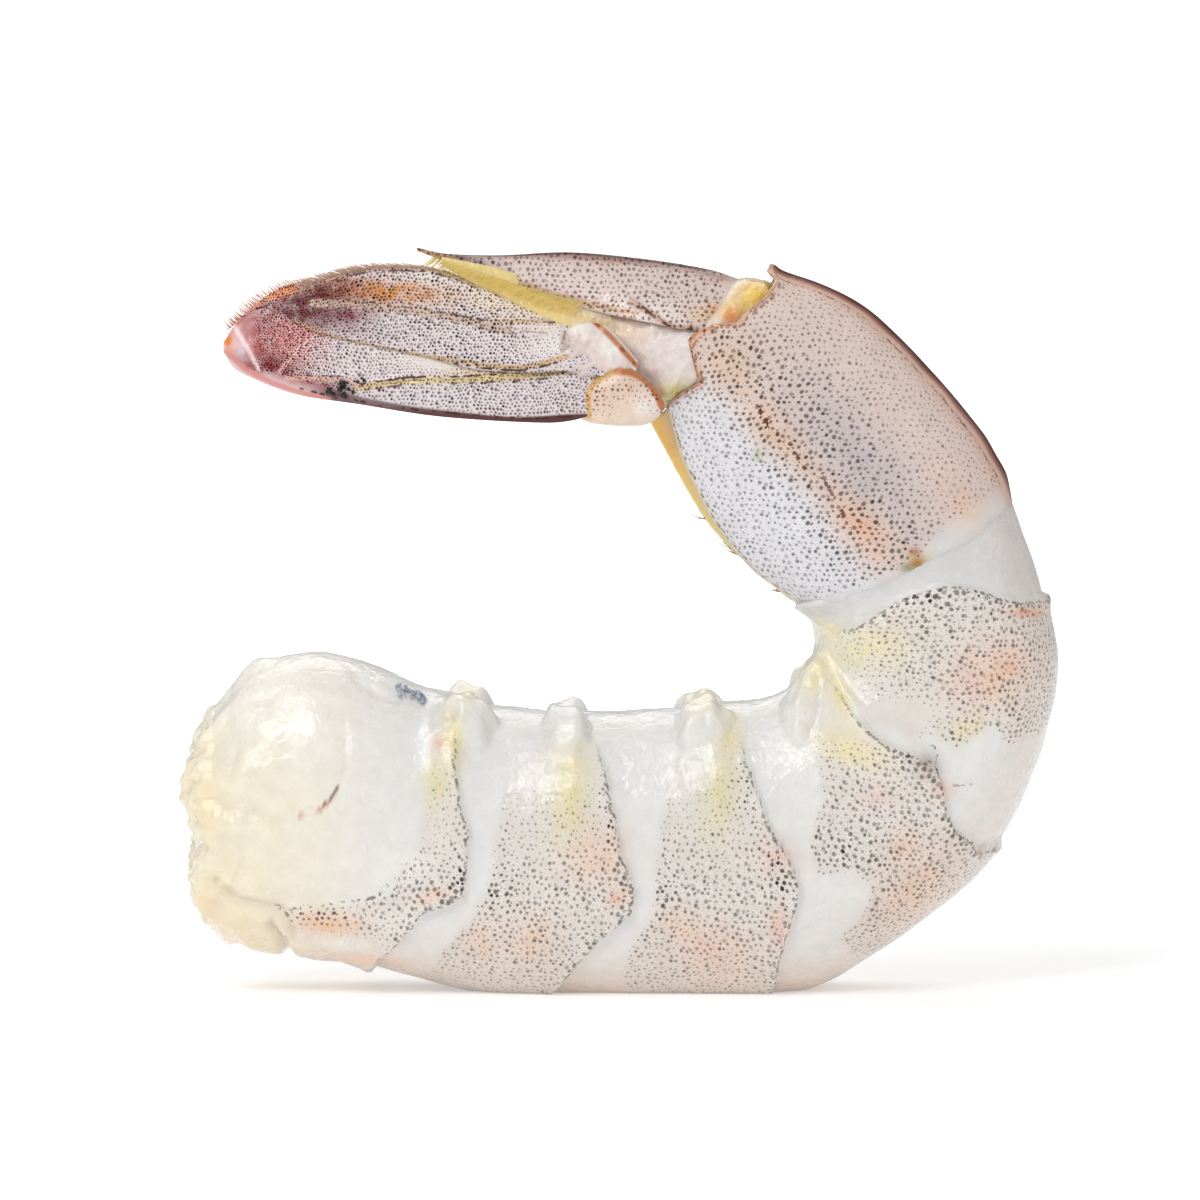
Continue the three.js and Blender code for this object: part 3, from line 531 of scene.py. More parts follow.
LOBE_PATCHES = (
    (-2.0, 43.0, 3.0, 2.4, 0.0, colour(0xDCCAC4), 0.9),
    # The two pearl patches are painted highlights, white glints on the lobe.
    (-1.0, 43.2, 0.7, 0.9, 0.5, PEARL_AND_HIGHLIGHT, 0.8),
    (-2.9, 44.3, 0.9, 0.35, 0.0, PEARL_AND_HIGHLIGHT, 0.8),
    (-3.9, 43.0, 0.5, 1.2, 0.0, colour(0xB8A49E), 0.8),
)
LOBE_BANDS = (
    (((-1.9, 44.9), (-0.9, 44.0), (0.1, 42.9), (0.9, 42.0)), 0.16, colour(0xC0743A), 0.95),
)
LOBE_MARKS = (
    (((-1.8, 44.8), (-0.8, 43.9), (0.2, 42.8), (0.8, 42.1)), 0.9),
    (((-3.8, 44.2), (-4.0, 43.4), (-3.8, 42.7)), 0.7),
)

JOINT_PATCHES = (
    (8.8, 46.4, 1.9, 1.5, 0.8, colour(0xF3CF6A), 1.0),
    (8.9, 46.9, 0.8, 0.6, 0.6, YELLOW, 0.6),
    (7.2, 45.6, 1.0, 0.7, 0.3, colour(0xE8C070), 0.8),
    (-1.6, 45.0, 2.0, 1.0, -0.5, colour(0xF0D6A0), 1.0),
    (0.8, 44.2, 1.6, 1.0, -0.7, colour(0xE8CDB4), 0.9),
    (7.2, 45.2, 0.6, 0.5, 0.0, ORANGE, 0.9),
    (3.4, 40.0, 1.6, 0.9, 0.3, colour(0xD2C66C), 0.9),
    (2.8, 42.8, 1.7, 1.7, 0.2, colour(0xE4D8D4), 1.0),
)

# Black grit on the outer blade: x and z of each crumb.
GRIT = (
    (-19.2, 40.1), (-18.8, 40.4), (-18.5, 40.0), (-18.2, 40.4), (-17.9, 40.2), (-18.6, 40.7),
    (-17.6, 40.9), (-17.2, 41.0), (-19.5, 40.3), (-17.8, 43.8), (-17.6, 44.1),
)
REMAINS = (3.55, np.pi - 0.42, 0.15, 0.05)  # middle station and angle, and the spread of each
REMAINS_COUNT = 34
HAIR_STATIONS = (11.9, 12.5, 12.7, 13.1)  # of the tufts along the belly edge of the shell
HAIRS = 4  # in each tuft

MEMBRANE_BANDS = (
    (((-0.8, 44.6), (-2.6, 45.2), (-5.0, 45.7), (-7.6, 47.0), (-9.6, 47.7)), 0.18, colour(0xE6B450), 0.5),
)
MEMBRANE_MARKS = ((((-1.0, 45.0), (-2.6, 45.5), (-5.0, 46.0), (-7.0, 47.0)), 0.5),)


# ---------------------------------------------------------------------------------------------
# Curves and lofts
# ---------------------------------------------------------------------------------------------

def smooth(low, high, value):
    """0 at low and below, 1 at high and above, with a soft step between."""
    share = np.clip((value - low) / (high - low), 0, 1)
    return share * share * (3 - 2 * share)


def hump(distance):
    """A soft hump: 1 at no distance, falling off over a distance of 1."""
    return np.exp(-(distance**2))


def power(value, exponent):
    """A power that keeps the value's sign."""
    return np.sign(value) * np.abs(value) ** exponent


def lerp(start, end, share):
    return start + (end - start) * share


def spline(table, place):
    """Values at fractional places of an evenly spaced table, on a smooth curve through it."""
    table = np.asarray(table, float)
    last = len(table) - 1
    padded = np.concatenate([[2 * table[0] - table[1]], table, [2 * table[-1] - table[-2]]])
    i = np.clip(np.floor(place).astype(int), 0, last - 1)
    f = place - i
    p0, p1, p2, p3 = padded[i], padded[i + 1], padded[i + 2], padded[i + 3]
    bend = 2 * p0 - 5 * p1 + 4 * p2 - p3
    twist = 3 * p1 - 3 * p2 + p3 - p0
    return 0.5 * (2 * p1 + (p2 - p0) * f + bend * f**2 + twist * f**3)


def pairs(table, place):
    """Values at any places of a table of (place, value) pairs."""
    places, values = zip(*table)
    return np.interp(place, places, values)


def rib_at(ribs, station):
    """A loft's ribs at stations: their middle, direction to the back, half depth and half width."""
    belly_x, belly_z, back_x, back_z, half = (spline(column, station) for column in zip(*ribs))
    middle = np.stack([(belly_x + back_x) / 2, (belly_z + back_z) / 2])
    to_back = np.stack([back_x - belly_x, back_z - belly_z])
    depth = np.hypot(*to_back)
    return middle, to_back / depth, depth / 2, half


def heading(ribs, station):
    """Direction along a loft at stations."""
    step = 0.05
    ahead = rib_at(ribs, station + step)[0] - rib_at(ribs, station - step)[0]
    return ahead / np.hypot(*ahead)


BODY_STEPS = np.linspace(0, len(BODY) - 1, 601)
BODY_MIDDLES = rib_at(BODY, BODY_STEPS)[0]
BODY_LENGTHS = np.concatenate([[0], np.cumsum(np.hypot(*np.diff(BODY_MIDDLES)))])


def body_station(share, last):
    """Stations at shares of the body's length up to a last station."""
    return np.interp(share * np.interp(last, BODY_STEPS, BODY_LENGTHS), BODY_LENGTHS, BODY_STEPS)


def outline(angle):
    """A body section's outline in shares of its half depth and half width. Angle 0 is the back."""
    back = power(np.cos(angle), BACK_SQUARE)
    side = power(np.sin(angle), FLANK_SQUARE) * (1 - BELLY_TAPER * (1 - back) / 2)
    return back, side


def body_point(station, angle, out):
    """Points of the body's surface moved outwards, and their flank share from back to belly."""
    middle, to_back, deep, half = rib_at(BODY, station)
    back, side = outline(angle)
    normal = np.stack([back / deep, side / half])
    normal = normal / np.hypot(*normal)
    x, z = middle + to_back * (deep * back + normal[0] * out)
    return np.stack([x, -(half * side + normal[1] * out), z]), (1 - back) / 2


def body_place(station, angle, y):
    """The flank rolled out flat, for patterns that follow the skin: two plane axes and depth."""
    middle, to_back, deep, half = rib_at(BODY, station)
    back, _ = outline(angle)
    reach = (np.pi / 2 - np.arccos(np.clip(back, -1, 1))) * np.hypot(deep, half) / math.sqrt(2)
    x, z = middle + to_back * reach
    return np.stack([x, z, y / 2])


def station_length(station, angle):
    """Millimetres for each whole station, at one height of the flank."""
    step = 0.1
    ahead = body_point(station + step, angle, 0)[0]
    behind = body_point(station - step, angle, 0)[0]
    return np.hypot(ahead[0] - behind[0], ahead[2] - behind[2]) / (2 * step)


def oval(x, z, patch):
    """How strongly a patch reaches points: 1 at its centre, falling off over its half size."""
    at_x, at_z, long, wide, turn = patch[:5]
    dx, dz = x - at_x, z - at_z
    along = dx * math.cos(turn) + dz * math.sin(turn)
    across = dz * math.cos(turn) - dx * math.sin(turn)
    return hump(np.hypot(along / long, across / wide))


def signed_distance(x, z, points):
    """Distance of points to a smooth line through a few points, seen from the side. It is below 0
    on the line's right, so that it runs evenly through 0 across the line."""
    columns = [np.array(column, float) for column in zip(*points)]
    places = np.linspace(0, len(points) - 1, 8 * (len(points) - 1) + 1)
    line_x, line_z = (spline(column, places) for column in columns)
    nearest = np.full(x.shape, np.inf)
    for number in range(len(places) - 1):
        x0, z0 = line_x[number], line_z[number]
        run_x, run_z = line_x[number + 1] - x0, line_z[number + 1] - z0
        share = ((x - x0) * run_x + (z - z0) * run_z) / (run_x**2 + run_z**2)
        beyond = ((number == 0) & (share < 0)) | ((number == len(places) - 2) & (share > 1))
        share = np.clip(share, 0, 1)
        distance = np.hypot(x - x0 - run_x * share, z - z0 - run_z * share)
        right = ((x - x0) * run_z - (z - z0) * run_x > 0) & ~beyond
        nearest = np.where(distance < np.abs(nearest), np.where(right, -distance, distance), nearest)
    return nearest


def line_distance(x, z, points):
    return np.abs(signed_distance(x, z, points))


def grain(points, size, seed=0):
    """Smooth noise between about -1 and 1 at points, with grains of a given size."""
    shifted = points.T / size + seed * 17.3
    return np.array([noise.noise(Vector(point)) for point in shifted]) * 1.6


def ends(share, front, rear):
    """Along a loft with rounded ends: share of its length, of its section's size, and the dome."""
    at_front = share < 0.5
    reach = np.where(at_front, share / front, (1 - share) / rear)
    quarter = np.clip(reach, 0, 1) * np.pi / 2
    along = np.clip((share - front) / (1 - front - rear), 0, 1)
    return along, np.sin(quarter) ** CAP_ROUND, np.where(at_front, -1, 1) * np.cos(quarter)


# ---------------------------------------------------------------------------------------------
# Meshes
# ---------------------------------------------------------------------------------------------

def read_points(mesh):
    points = np.empty(len(mesh.vertices) * 3)
    mesh.vertices.foreach_get("co", points)
    return points.reshape(-1, 3).T


def write_points(mesh, points):
    """Moves a mesh's vertices to points in millimetres."""
    mesh.vertices.foreach_set("co", (points.T * MM).ravel())
    mesh.update()


def write_layer(mesh, name, values):
    """Stores one number, or three as a vector or colour, for each vertex."""
    rows = np.atleast_2d(values)
    kind, field = ("FLOAT", "value") if len(rows) == 1 else ("FLOAT_VECTOR", "vector")
    layer = mesh.attributes.new(name, kind, "POINT")
    layer.data.foreach_set(field, rows.T.ravel())


def finish_mesh(bm, name):
    mesh = bpy.data.meshes.new(name)
    bm.to_mesh(mesh)
    bm.free()
    return mesh


def ball(name, rows, around):
    """A closed ball, with each vertex's share of the way between its poles and its angle."""
    bm = bmesh.new()
    bmesh.ops.create_uvsphere(bm, u_segments=around, v_segments=rows, radius=1)
    mesh = finish_mesh(bm, name)
    x, y, z = read_points(mesh)
    return mesh, np.arctan2(np.hypot(x, y), z) / np.pi, np.arctan2(y, x) % (2 * np.pi)


def slab(name, along, across):
    """A closed slab of unit size, finely divided along and across, and its vertices' places."""
    bm = bmesh.new()
    bmesh.ops.create_grid(bm, x_segments=along, y_segments=across, size=0.5)
    bmesh.ops.translate(bm, verts=bm.verts, vec=(0.5, 0.5, 0))
    grown = bmesh.ops.extrude_face_region(bm, geom=bm.faces[:], use_keep_orig=True)
    raised = [item for item in grown["geom"] if isinstance(item, bmesh.types.BMVert)]
    bmesh.ops.translate(bm, verts=raised, vec=(0, 0, 1))
    bmesh.ops.recalc_face_normals(bm, faces=bm.faces)
    mesh = finish_mesh(bm, name)
    return mesh, *read_points(mesh)


def add_piece(mesh, material, nodes=()):
    """Puts a finished mesh in the scene as a piece that rides on the shrimp's one body."""
    piece = bpy.data.objects.new(mesh.name, mesh)
    bpy.context.collection.objects.link(piece)
    mesh.materials.append(material)
    mesh.shade_smooth()
    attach(piece, "root")
    if nodes:
        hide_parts(*nodes)
    return piece


LINE_OUTSIDE, LINE_INSIDE = 0.28, 0.17  # distances from a line at which it is gone, and whole


class Paint:
    """Colour, dots and dark lines laid on a piece, vertex by vertex."""

    def __init__(self, points, base):
        self.x, self.y, self.z = points
        self.colours = np.repeat(np.array(base, float)[:, None], points.shape[1], axis=1)
        self.dots = np.zeros(points.shape[1])
        self.tone = np.full(points.shape[1], 0.5)
        self.line = np.full(points.shape[1], 9.0)
        self.line_amount = np.zeros(points.shape[1])

    def lay(self, tint, amount):
        """Mixes a colour in, by an amount from 0 to 1 at each vertex."""
        amount = np.clip(amount, 0, 1)
        self.colours += (np.array(tint, float)[:, None] - self.colours) * amount

    def lay_patches(self, patches, ragged=0.0):
        """Lays patches whose edges a noise makes ragged."""
        for patch in patches:
            self.lay(patch[5], oval(self.x, self.z, patch) * (1 + ragged) * patch[6])

    def lay_bands(self, bands):
        for points, half, tint, amount in bands:
            away = line_distance(self.x, self.z, points) / half
            self.lay(tint, smooth(1.5, 0.6, away) * amount)

    def draw(self, distance, amount):
        """Draws a dark line where its distance, signed or not, is nearest to 0."""
        nearer = np.abs(distance) < np.abs(self.line)
        self.line = np.where(nearer, distance, self.line)
        amount = amount * smooth(LINE_OUTSIDE, LINE_INSIDE, np.abs(distance))
        self.line_amount = np.where(nearer, amount, self.line_amount)

    def draw_marks(self, marks):
        for points, amount in marks:
            self.draw(signed_distance(self.x, self.z, points), amount)

    def store(self, mesh, place):
        write_layer(mesh, "paint", self.colours)
        write_layer(mesh, "place", place)
        write_layer(mesh, "dots", np.clip(self.dots, 0, 1.3))
        write_layer(mesh, "tone", np.clip(self.tone, 0, 1))
        write_layer(mesh, "line", np.clip(self.line, -1, 1))
        write_layer(mesh, "line_amount", self.line_amount)


# ---------------------------------------------------------------------------------------------
# Node groups and materials
# ---------------------------------------------------------------------------------------------

def add_node(tree, kind, inputs=None, **settings):
    """A new node with its settings, and its inputs set to values or linked to outputs."""
    node = tree.nodes.new(kind)
    for name, value in settings.items():
        setattr(node, name, value)
    for name, value in (inputs or {}).items():
        if isinstance(value, bpy.types.NodeSocket):
            tree.links.new(value, node.inputs[name])
        else:
            node.inputs[name].default_value = value
    return node


def maths(tree, operation, *values, clamp=False):
    node = add_node(tree, "ShaderNodeMath", dict(enumerate(values)), operation=operation)
    node.use_clamp = clamp
    return node.outputs[0]


def vector_maths(tree, operation, *values):
    node = add_node(tree, "ShaderNodeVectorMath", operation=operation)
    for value, socket in zip(values, node.inputs):
        if isinstance(value, bpy.types.NodeSocket):
            tree.links.new(value, socket)
        else:
            socket.default_value = value
    return node.outputs[0]


def mix(tree, factor, first, second, blend="MIX"):
    """A mix of two colours."""
    node = add_node(tree, "ShaderNodeMix", data_type="RGBA", blend_type=blend)
    for socket, value in zip((node.inputs[0], node.inputs[6], node.inputs[7]), (factor, first, second)):
        if isinstance(value, bpy.types.NodeSocket):
            tree.links.new(value, socket)
        else:
            socket.default_value = value
    return node.outputs[2]


def new_group(name, inputs, outputs):
    """A shader node group with its sockets, and its tree's input and output nodes."""
    tree = bpy.data.node_groups.new(name, "ShaderNodeTree")
    for label, kind, value in inputs:
        socket = tree.interface.new_socket(label, in_out="INPUT", socket_type=kind)
        if value is not None:
            socket.default_value = value
    for label, kind in outputs:
        tree.interface.new_socket(label, in_out="OUTPUT", socket_type=kind)
    return tree, tree.nodes.new("NodeGroupInput").outputs, tree.nodes.new("NodeGroupOutput").inputs


NUMBER, VECTOR, COLOUR = "NodeSocketFloat", "NodeSocketVector", "NodeSocketColor"


def pigment_dots_group():
    """Round pigment cells spread evenly: a lattice of triangles whose points chance has moved."""
    tree, given, result = new_group(
        "Pigment dots",
        [
            ("Place", VECTOR, None),
            ("Spacing", NUMBER, 0.6),
            ("Radius", NUMBER, 0.2),
            ("Softness", NUMBER, 0.08),
            ("Disorder", NUMBER, 0.8),
            ("Amount", NUMBER, 1.0),
        ],
        [("Mask", NUMBER), ("Tone", NUMBER)],
    )
    row_height = math.sqrt(3) / 2
    wobble = add_node(
        tree, "ShaderNodeTexNoise", {"Vector": given["Place"], "Scale": 0.5, "Detail": 0.0}
    )
    centred = vector_maths(tree, "SUBTRACT", wobble.outputs["Color"], (0.5, 0.5, 0.5))
    shift = vector_maths(tree, "MULTIPLY", centred, (0.5, 0.5, 0.5))
    moved = vector_maths(tree, "ADD", given["Place"], shift)
    place = add_node(tree, "ShaderNodeSeparateXYZ", {0: moved}).outputs
    frequency = maths(tree, "DIVIDE", 1.0, given["Spacing"])
    row = maths(tree, "DIVIDE", maths(tree, "MULTIPLY", place[1], frequency), row_height)
    column = maths(tree, "MULTIPLY_ADD", row, -0.5, maths(tree, "MULTIPLY", place[0], frequency))
    lattice = add_node(tree, "ShaderNodeCombineXYZ", {0: column, 1: row}).outputs[0]
    masks, tones = [], []
    for feature in ("F1", "F2"):
        cells = add_node(
            tree,
            "ShaderNodeTexVoronoi",
            {"Vector": lattice, "Scale": 1.0, "Randomness": given["Disorder"]},
            voronoi_dimensions="2D",
            feature=feature,
        ).outputs
        cell = add_node(tree, "ShaderNodeSeparateXYZ", {0: cells["Position"]}).outputs
        columns = maths(tree, "MULTIPLY_ADD", cell[1], 0.5, cell[0])
        rows = maths(tree, "MULTIPLY", cell[1], row_height)
        across, up = (maths(tree, "MULTIPLY", number, given["Spacing"]) for number in (columns, rows))
        centre = add_node(tree, "ShaderNodeCombineXYZ", {0: across, 1: up, 2: place[2]}).outputs[0]
        reach = add_node(tree, "ShaderNodeVectorMath", {0: moved, 1: centre}, operation="DISTANCE")
        random = add_node(tree, "ShaderNodeSeparateColor", {0: cells["Color"]}).outputs
        uneven = maths(tree, "MULTIPLY_ADD", random[0], 0.5, 0.7)
        radius = maths(tree, "MULTIPLY", given["Radius"], uneven)
        radius = maths(tree, "MULTIPLY", radius, given["Amount"])
        inside = maths(tree, "SUBTRACT", radius, reach.outputs["Value"])
        masks.append(maths(tree, "DIVIDE", inside, given["Softness"], clamp=True))
        tones.append(random[1])
    tree.links.new(maths(tree, "MAXIMUM", *masks), result["Mask"])
    second = maths(tree, "GREATER_THAN", masks[1], masks[0])
    step = maths(tree, "SUBTRACT", tones[1], tones[0])
    tree.links.new(maths(tree, "MULTIPLY_ADD", step, second, tones[0]), result["Tone"])
    return tree


def broken_line_group():
    """A dark line that breaks into dashes and dots along its length."""
    edge = 0.07  # distance over which a dash fades
    tree, given, result = new_group(
        "Broken line",
        [
            ("Distance", NUMBER, 1.0),
            ("Place", VECTOR, None),
            ("Width", NUMBER, 0.12),
            ("Dash", NUMBER, 0.45),
            ("Amount", NUMBER, 1.0),
        ],
        [("Mask", NUMBER)],
    )
    frequency = maths(tree, "DIVIDE", 1.0, given["Dash"])
    breaks = add_node(
        tree, "ShaderNodeTexNoise", {"Vector": given["Place"], "Scale": frequency, "Detail": 2.0}
    )
    width = add_node(
        tree,
        "ShaderNodeMapRange",
        {"Value": breaks.outputs["Fac"], "From Min": 0.48, "From Max": 0.58, "To Max": 1.0},
    ).outputs[0]
    width = maths(tree, "MULTIPLY", width, given["Width"])
    inside = maths(tree, "SUBTRACT", width, maths(tree, "ABSOLUTE", given["Distance"]))
    solid = maths(tree, "DIVIDE", inside, edge, clamp=True)
    tree.links.new(maths(tree, "MULTIPLY", solid, given["Amount"]), result["Mask"])
    return tree


def mottling_group():
    """Soft clouding of a colour, as in translucent flesh."""
    tree, given, result = new_group(
        "Mottling",
        [("Colour", COLOUR, None), ("Place", VECTOR, None), ("Size", NUMBER, 1.2), ("Strength", NUMBER, 0.1)],
        [("Colour", COLOUR)],
    )
    frequency = maths(tree, "DIVIDE", 1.0, given["Size"])
    clouds = add_node(
        tree, "ShaderNodeTexNoise", {"Vector": given["Place"], "Scale": frequency, "Detail": 4.0}
    )
    spread = maths(tree, "SUBTRACT", clouds.outputs["Fac"], 0.5)
    factor = maths(tree, "MULTIPLY_ADD", spread, given["Strength"], 1.0)
    scaled = vector_maths(tree, "SCALE", given["Colour"])
    tree.links.new(factor, scaled.node.inputs["Scale"])
    tree.links.new(scaled, result["Colour"])
    return tree


def wet_skin_group():
    """Height of fine wrinkles and pores, and the roughness of a wet film over them."""
    tree, given, result = new_group(
        "Wet skin",
        [("Place", VECTOR, None), ("Grain", NUMBER, 0.5), ("Dry", NUMBER, 0.1), ("Wet", NUMBER, 0.3)],
        [("Height", NUMBER), ("Roughness", NUMBER)],
    )
    frequency = maths(tree, "DIVIDE", 1.0, given["Grain"])
    wrinkles = add_node(
        tree,
        "ShaderNodeTexNoise",
        {"Vector": given["Place"], "Scale": frequency, "Detail": 5.0, "Distortion": 0.6},
    )
    film = add_node(tree, "ShaderNodeTexNoise", {"Vector": given["Place"], "Scale": 0.4, "Detail": 2.0})
    roughness = add_node(
        tree,
        "ShaderNodeMapRange",
        {
            "Value": film.outputs["Fac"],
            "From Min": 0.35,
            "From Max": 0.65,
            "To Min": given["Wet"],
            "To Max": given["Dry"],
        },
    )
    tree.links.new(wrinkles.outputs["Fac"], result["Height"])
    tree.links.new(roughness.outputs[0], result["Roughness"])
    return tree


def shared_group(name):
    """One of the shader groups that the materials share, built on first use."""
    makers = {
        "Pigment dots": pigment_dots_group,
        "Broken line": broken_line_group,
        "Mottling": mottling_group,
        "Wet skin": wet_skin_group,
    }
    return bpy.data.node_groups.get(name) or makers[name]()


def use_group(tree, name, inputs):
    node = tree.nodes.new("ShaderNodeGroup")
    node.node_tree = shared_group(name)
    for label, value in inputs.items():
        if isinstance(value, bpy.types.NodeSocket):
            tree.links.new(value, node.inputs[label])
        else:
            node.inputs[label].default_value = value
    return node.outputs


def opaque(tint):
    return (*tint, 1.0)


def new_material(name):
    material = bpy.data.materials.new(name)
    material.use_nodes = True
    tree = material.node_tree
    return material, tree, tree.nodes["Principled BSDF"]


# What each skin looks like: dots' spacing, radius and pigment, fine dots' strength, dark lines'
# width and ink, clouding, wrinkles, roughness where wet and dry, depth that light reaches, coat.
SKINS = {
    "flesh": dict(
        spacing=0.45, radius=0.152, disorder=0.7, pigment=colour(0x423B39), fine=0.65,
        width=0.17, dash=0.3, ink=colour(0x5A5450), cloud=0.16, cloud_size=1.1,
        grain=0.8, bump=0.45, wet=0.12, dry=0.32, depth=0.0016, scatter=0.35, coat=0.8,
    ),
    "shell": dict(
        spacing=0.45, radius=0.148, disorder=0.55, pigment=colour(0x4E3E3A), fine=0.55,
        width=0.2, dash=0.4, ink=colour(0x6A3414), cloud=0.16, cloud_size=1.6,
        grain=0.5, bump=0.08, wet=0.18, dry=0.34, depth=0.0009, scatter=0.25, coat=0.4,
    ),
    "telson": dict(
        spacing=0.4, radius=0.14, disorder=0.5, pigment=colour(0x543C38), fine=0.6,
        width=0.14, dash=0.5, ink=colour(0x5A3C30), cloud=0.14, cloud_size=1.2,
        grain=0.5, bump=0.08, wet=0.18, dry=0.34, depth=0.0009, scatter=0.25, coat=0.4,
    ),
    "tissue": dict(
        spacing=0.6, radius=0.15, disorder=0.8, pigment=colour(0xA89060), fine=0.1,
        width=0.1, dash=0.5, ink=colour(0x9A7A50), cloud=0.35, cloud_size=0.6,
        grain=0.35, bump=0.4, wet=0.12, dry=0.3, depth=0.0012, scatter=0.35, coat=0.7,
    ),
    "uropod_base": dict(
        spacing=0.36, radius=0.125, disorder=0.6, pigment=colour(0x7A4A36), fine=0.5,
        width=0.12, dash=0.7, ink=colour(0x8A4A24), cloud=0.2, cloud_size=0.5,
        grain=0.4, bump=0.2, wet=0.16, dry=0.32, depth=0.0008, scatter=0.25, coat=0.5,
    ),
    "tail_blade": dict(
        spacing=0.265, radius=0.108, disorder=0.5, pigment=colour(0x33242A), fine=0.4,
        width=0.12, dash=0.6, ink=colour(0x4A2C24), cloud=0.2, cloud_size=0.7,
        grain=0.35, bump=0.14, wet=0.18, dry=0.36, depth=0.0006, scatter=0.2, coat=0.4,
    ),
}


FINE_SPACING, FINE_RADIUS = 0.52, 0.42  # of the small dots between the large ones, as shares


def skin_material(name):
    """A wet skin whose colour, dots and dark lines follow what is painted on the piece."""
    label = f"wet_{name}"
    known = bpy.data.materials.get(label)
    if known:
        return known
    look = SKINS[name]
    material, tree, shader = new_material(label)
    layer = {
        label: add_node(tree, "ShaderNodeAttribute", attribute_name=label).outputs
        for label in ("paint", "place", "dots", "tone", "line", "line_amount")
    }
    place = layer["place"]["Vector"]
    base = use_group(
        tree,
        "Mottling",
        {
            "Colour": layer["paint"]["Color"],
            "Place": place,
            "Size": look["cloud_size"],
            "Strength": look["cloud"],
        },
    )["Colour"]
    spread = {
        "Place": place,
        "Disorder": look["disorder"],
        "Amount": layer["dots"]["Fac"],
        "Softness": maths(tree, "MULTIPLY_ADD", layer["tone"]["Fac"], -0.1, 0.13),
    }
    fine = use_group(
        tree,
        "Pigment dots",
        spread | {"Spacing": look["spacing"] * FINE_SPACING, "Radius": look["radius"] * FINE_RADIUS},
    )["Mask"]
    fine = maths(tree, "MULTIPLY", fine, look["fine"])
    base = mix(tree, fine, base, opaque(look["pigment"]), "MULTIPLY")
    dots = use_group(
        tree,
        "Pigment dots",
        spread | {"Spacing": look["spacing"], "Radius": look["radius"]},
    )
    tone = maths(tree, "MULTIPLY_ADD", dots["Tone"], 0.4, layer["tone"]["Fac"], clamp=True)
    cover = maths(tree, "MULTIPLY", dots["Mask"], tone)
    base = mix(tree, cover, base, opaque(look["pigment"]), "MULTIPLY")
    ink = use_group(
        tree,
        "Broken line",
        {
            "Distance": layer["line"]["Fac"],
            "Place": place,
            "Width": look["width"],
            "Dash": look["dash"],
            "Amount": layer["line_amount"]["Fac"],
        },
    )["Mask"]
    base = mix(tree, ink, base, opaque(look["ink"]))
    film = use_group(
        tree, "Wet skin", {"Place": place, "Grain": look["grain"], "Wet": look["wet"], "Dry": look["dry"]}
    )
    bump = add_node(
        tree,
        "ShaderNodeBump",
        {"Height": film["Height"], "Strength": look["bump"], "Distance": 0.3 * MM},
    )
    tree.links.new(base, shader.inputs["Base Color"])
    tree.links.new(film["Roughness"], shader.inputs["Roughness"])
    tree.links.new(bump.outputs["Normal"], shader.inputs["Normal"])
    tree.links.new(bump.outputs["Normal"], shader.inputs["Coat Normal"])
    red = add_node(tree, "ShaderNodeSeparateColor", {0: base}).outputs[0]
    pale = maths(tree, "MULTIPLY", red, 3.0, clamp=True)  # keeps the coat's shine off dots and lines
    tree.links.new(maths(tree, "MULTIPLY", pale, look["coat"]), shader.inputs["Coat Weight"])
    tree.links.new(maths(tree, "MULTIPLY", pale, 0.5), shader.inputs["Specular IOR Level"])
    shader.inputs["Subsurface Weight"].default_value = look["scatter"]
    shader.inputs["Subsurface Radius"].default_value = (1.0, 0.75, 0.6)
    shader.inputs["Subsurface Scale"].default_value = look["depth"]
    shader.inputs["Coat Roughness"].default_value = 0.08
    shader.inputs["IOR"].default_value = 1.4
    return material


def bristle_material(name, tint, tip):
    """Horny bristles, darker towards where the fringe ends."""
    material, tree, shader = new_material(name)
    along = add_node(tree, "ShaderNodeAttribute", attribute_name="along").outputs["Fac"]
    place = add_node(tree, "ShaderNodeTexCoord").outputs["Object"]
    uneven = add_node(tree, "ShaderNodeTexNoise", {"Vector": place, "Scale": 1.5 / MM, "Detail": 2.0})
    factor = maths(tree, "MULTIPLY_ADD", uneven.outputs["Fac"], 0.5, along, clamp=True)
    factor = maths(tree, "SUBTRACT", factor, 0.2, clamp=True)
    tree.links.new(mix(tree, factor, opaque(tint), opaque(tip)), shader.inputs["Base Color"])
    shader.inputs["Roughness"].default_value = 0.35
    shader.inputs["Subsurface Weight"].default_value = 0.2
    shader.inputs["Subsurface Scale"].default_value = 0.3 * MM
    return material


# ---------------------------------------------------------------------------------------------
# Flesh
# ---------------------------------------------------------------------------------------------

FACE_SHARE = 0.1  # share of the rows that the cut face takes
END_SHARE = 0.012  # share that the hidden end under the shell takes
MEMBRANE_PALE = colour(0xE0D070)
MEMBRANE_DEEP = colour(0xF2B428)
FRONT_FACET = colour(0xD0CDCC)  # smooth flesh between the last plate and the shell
BACK_LINE = colour(0x6A5C5E)


def ridge_reach(station):
    """How far the belly membrane stands out in the shell's opening."""
    return RIDGE_REACH * smooth(*RIDGE_RISE, station)


def under_shell(station, angle, flank, length):
    """How far the flesh is under the shell, how deep it lies there, and how near it is to the
    middle of the belly, where it stands out as the membrane that fills the shell's opening."""
    past = (station - pairs(SHELL_FRONT, flank)) * length
    covered = smooth(0.1, 1.4, past)
    reach = ridge_reach(station) + RIDGE_LOW
    ridge = hump(np.abs(angle - np.pi) / RIDGE_ANGLE)
    return covered, covered * (SHELL_WALL + GAP - (SHELL_WALL + GAP + reach) * ridge), ridge


def angle_off_back(angle):
    """How far an angle round a section is from the back, either way."""
    return np.minimum(angle % (2 * np.pi), -angle % (2 * np.pi))


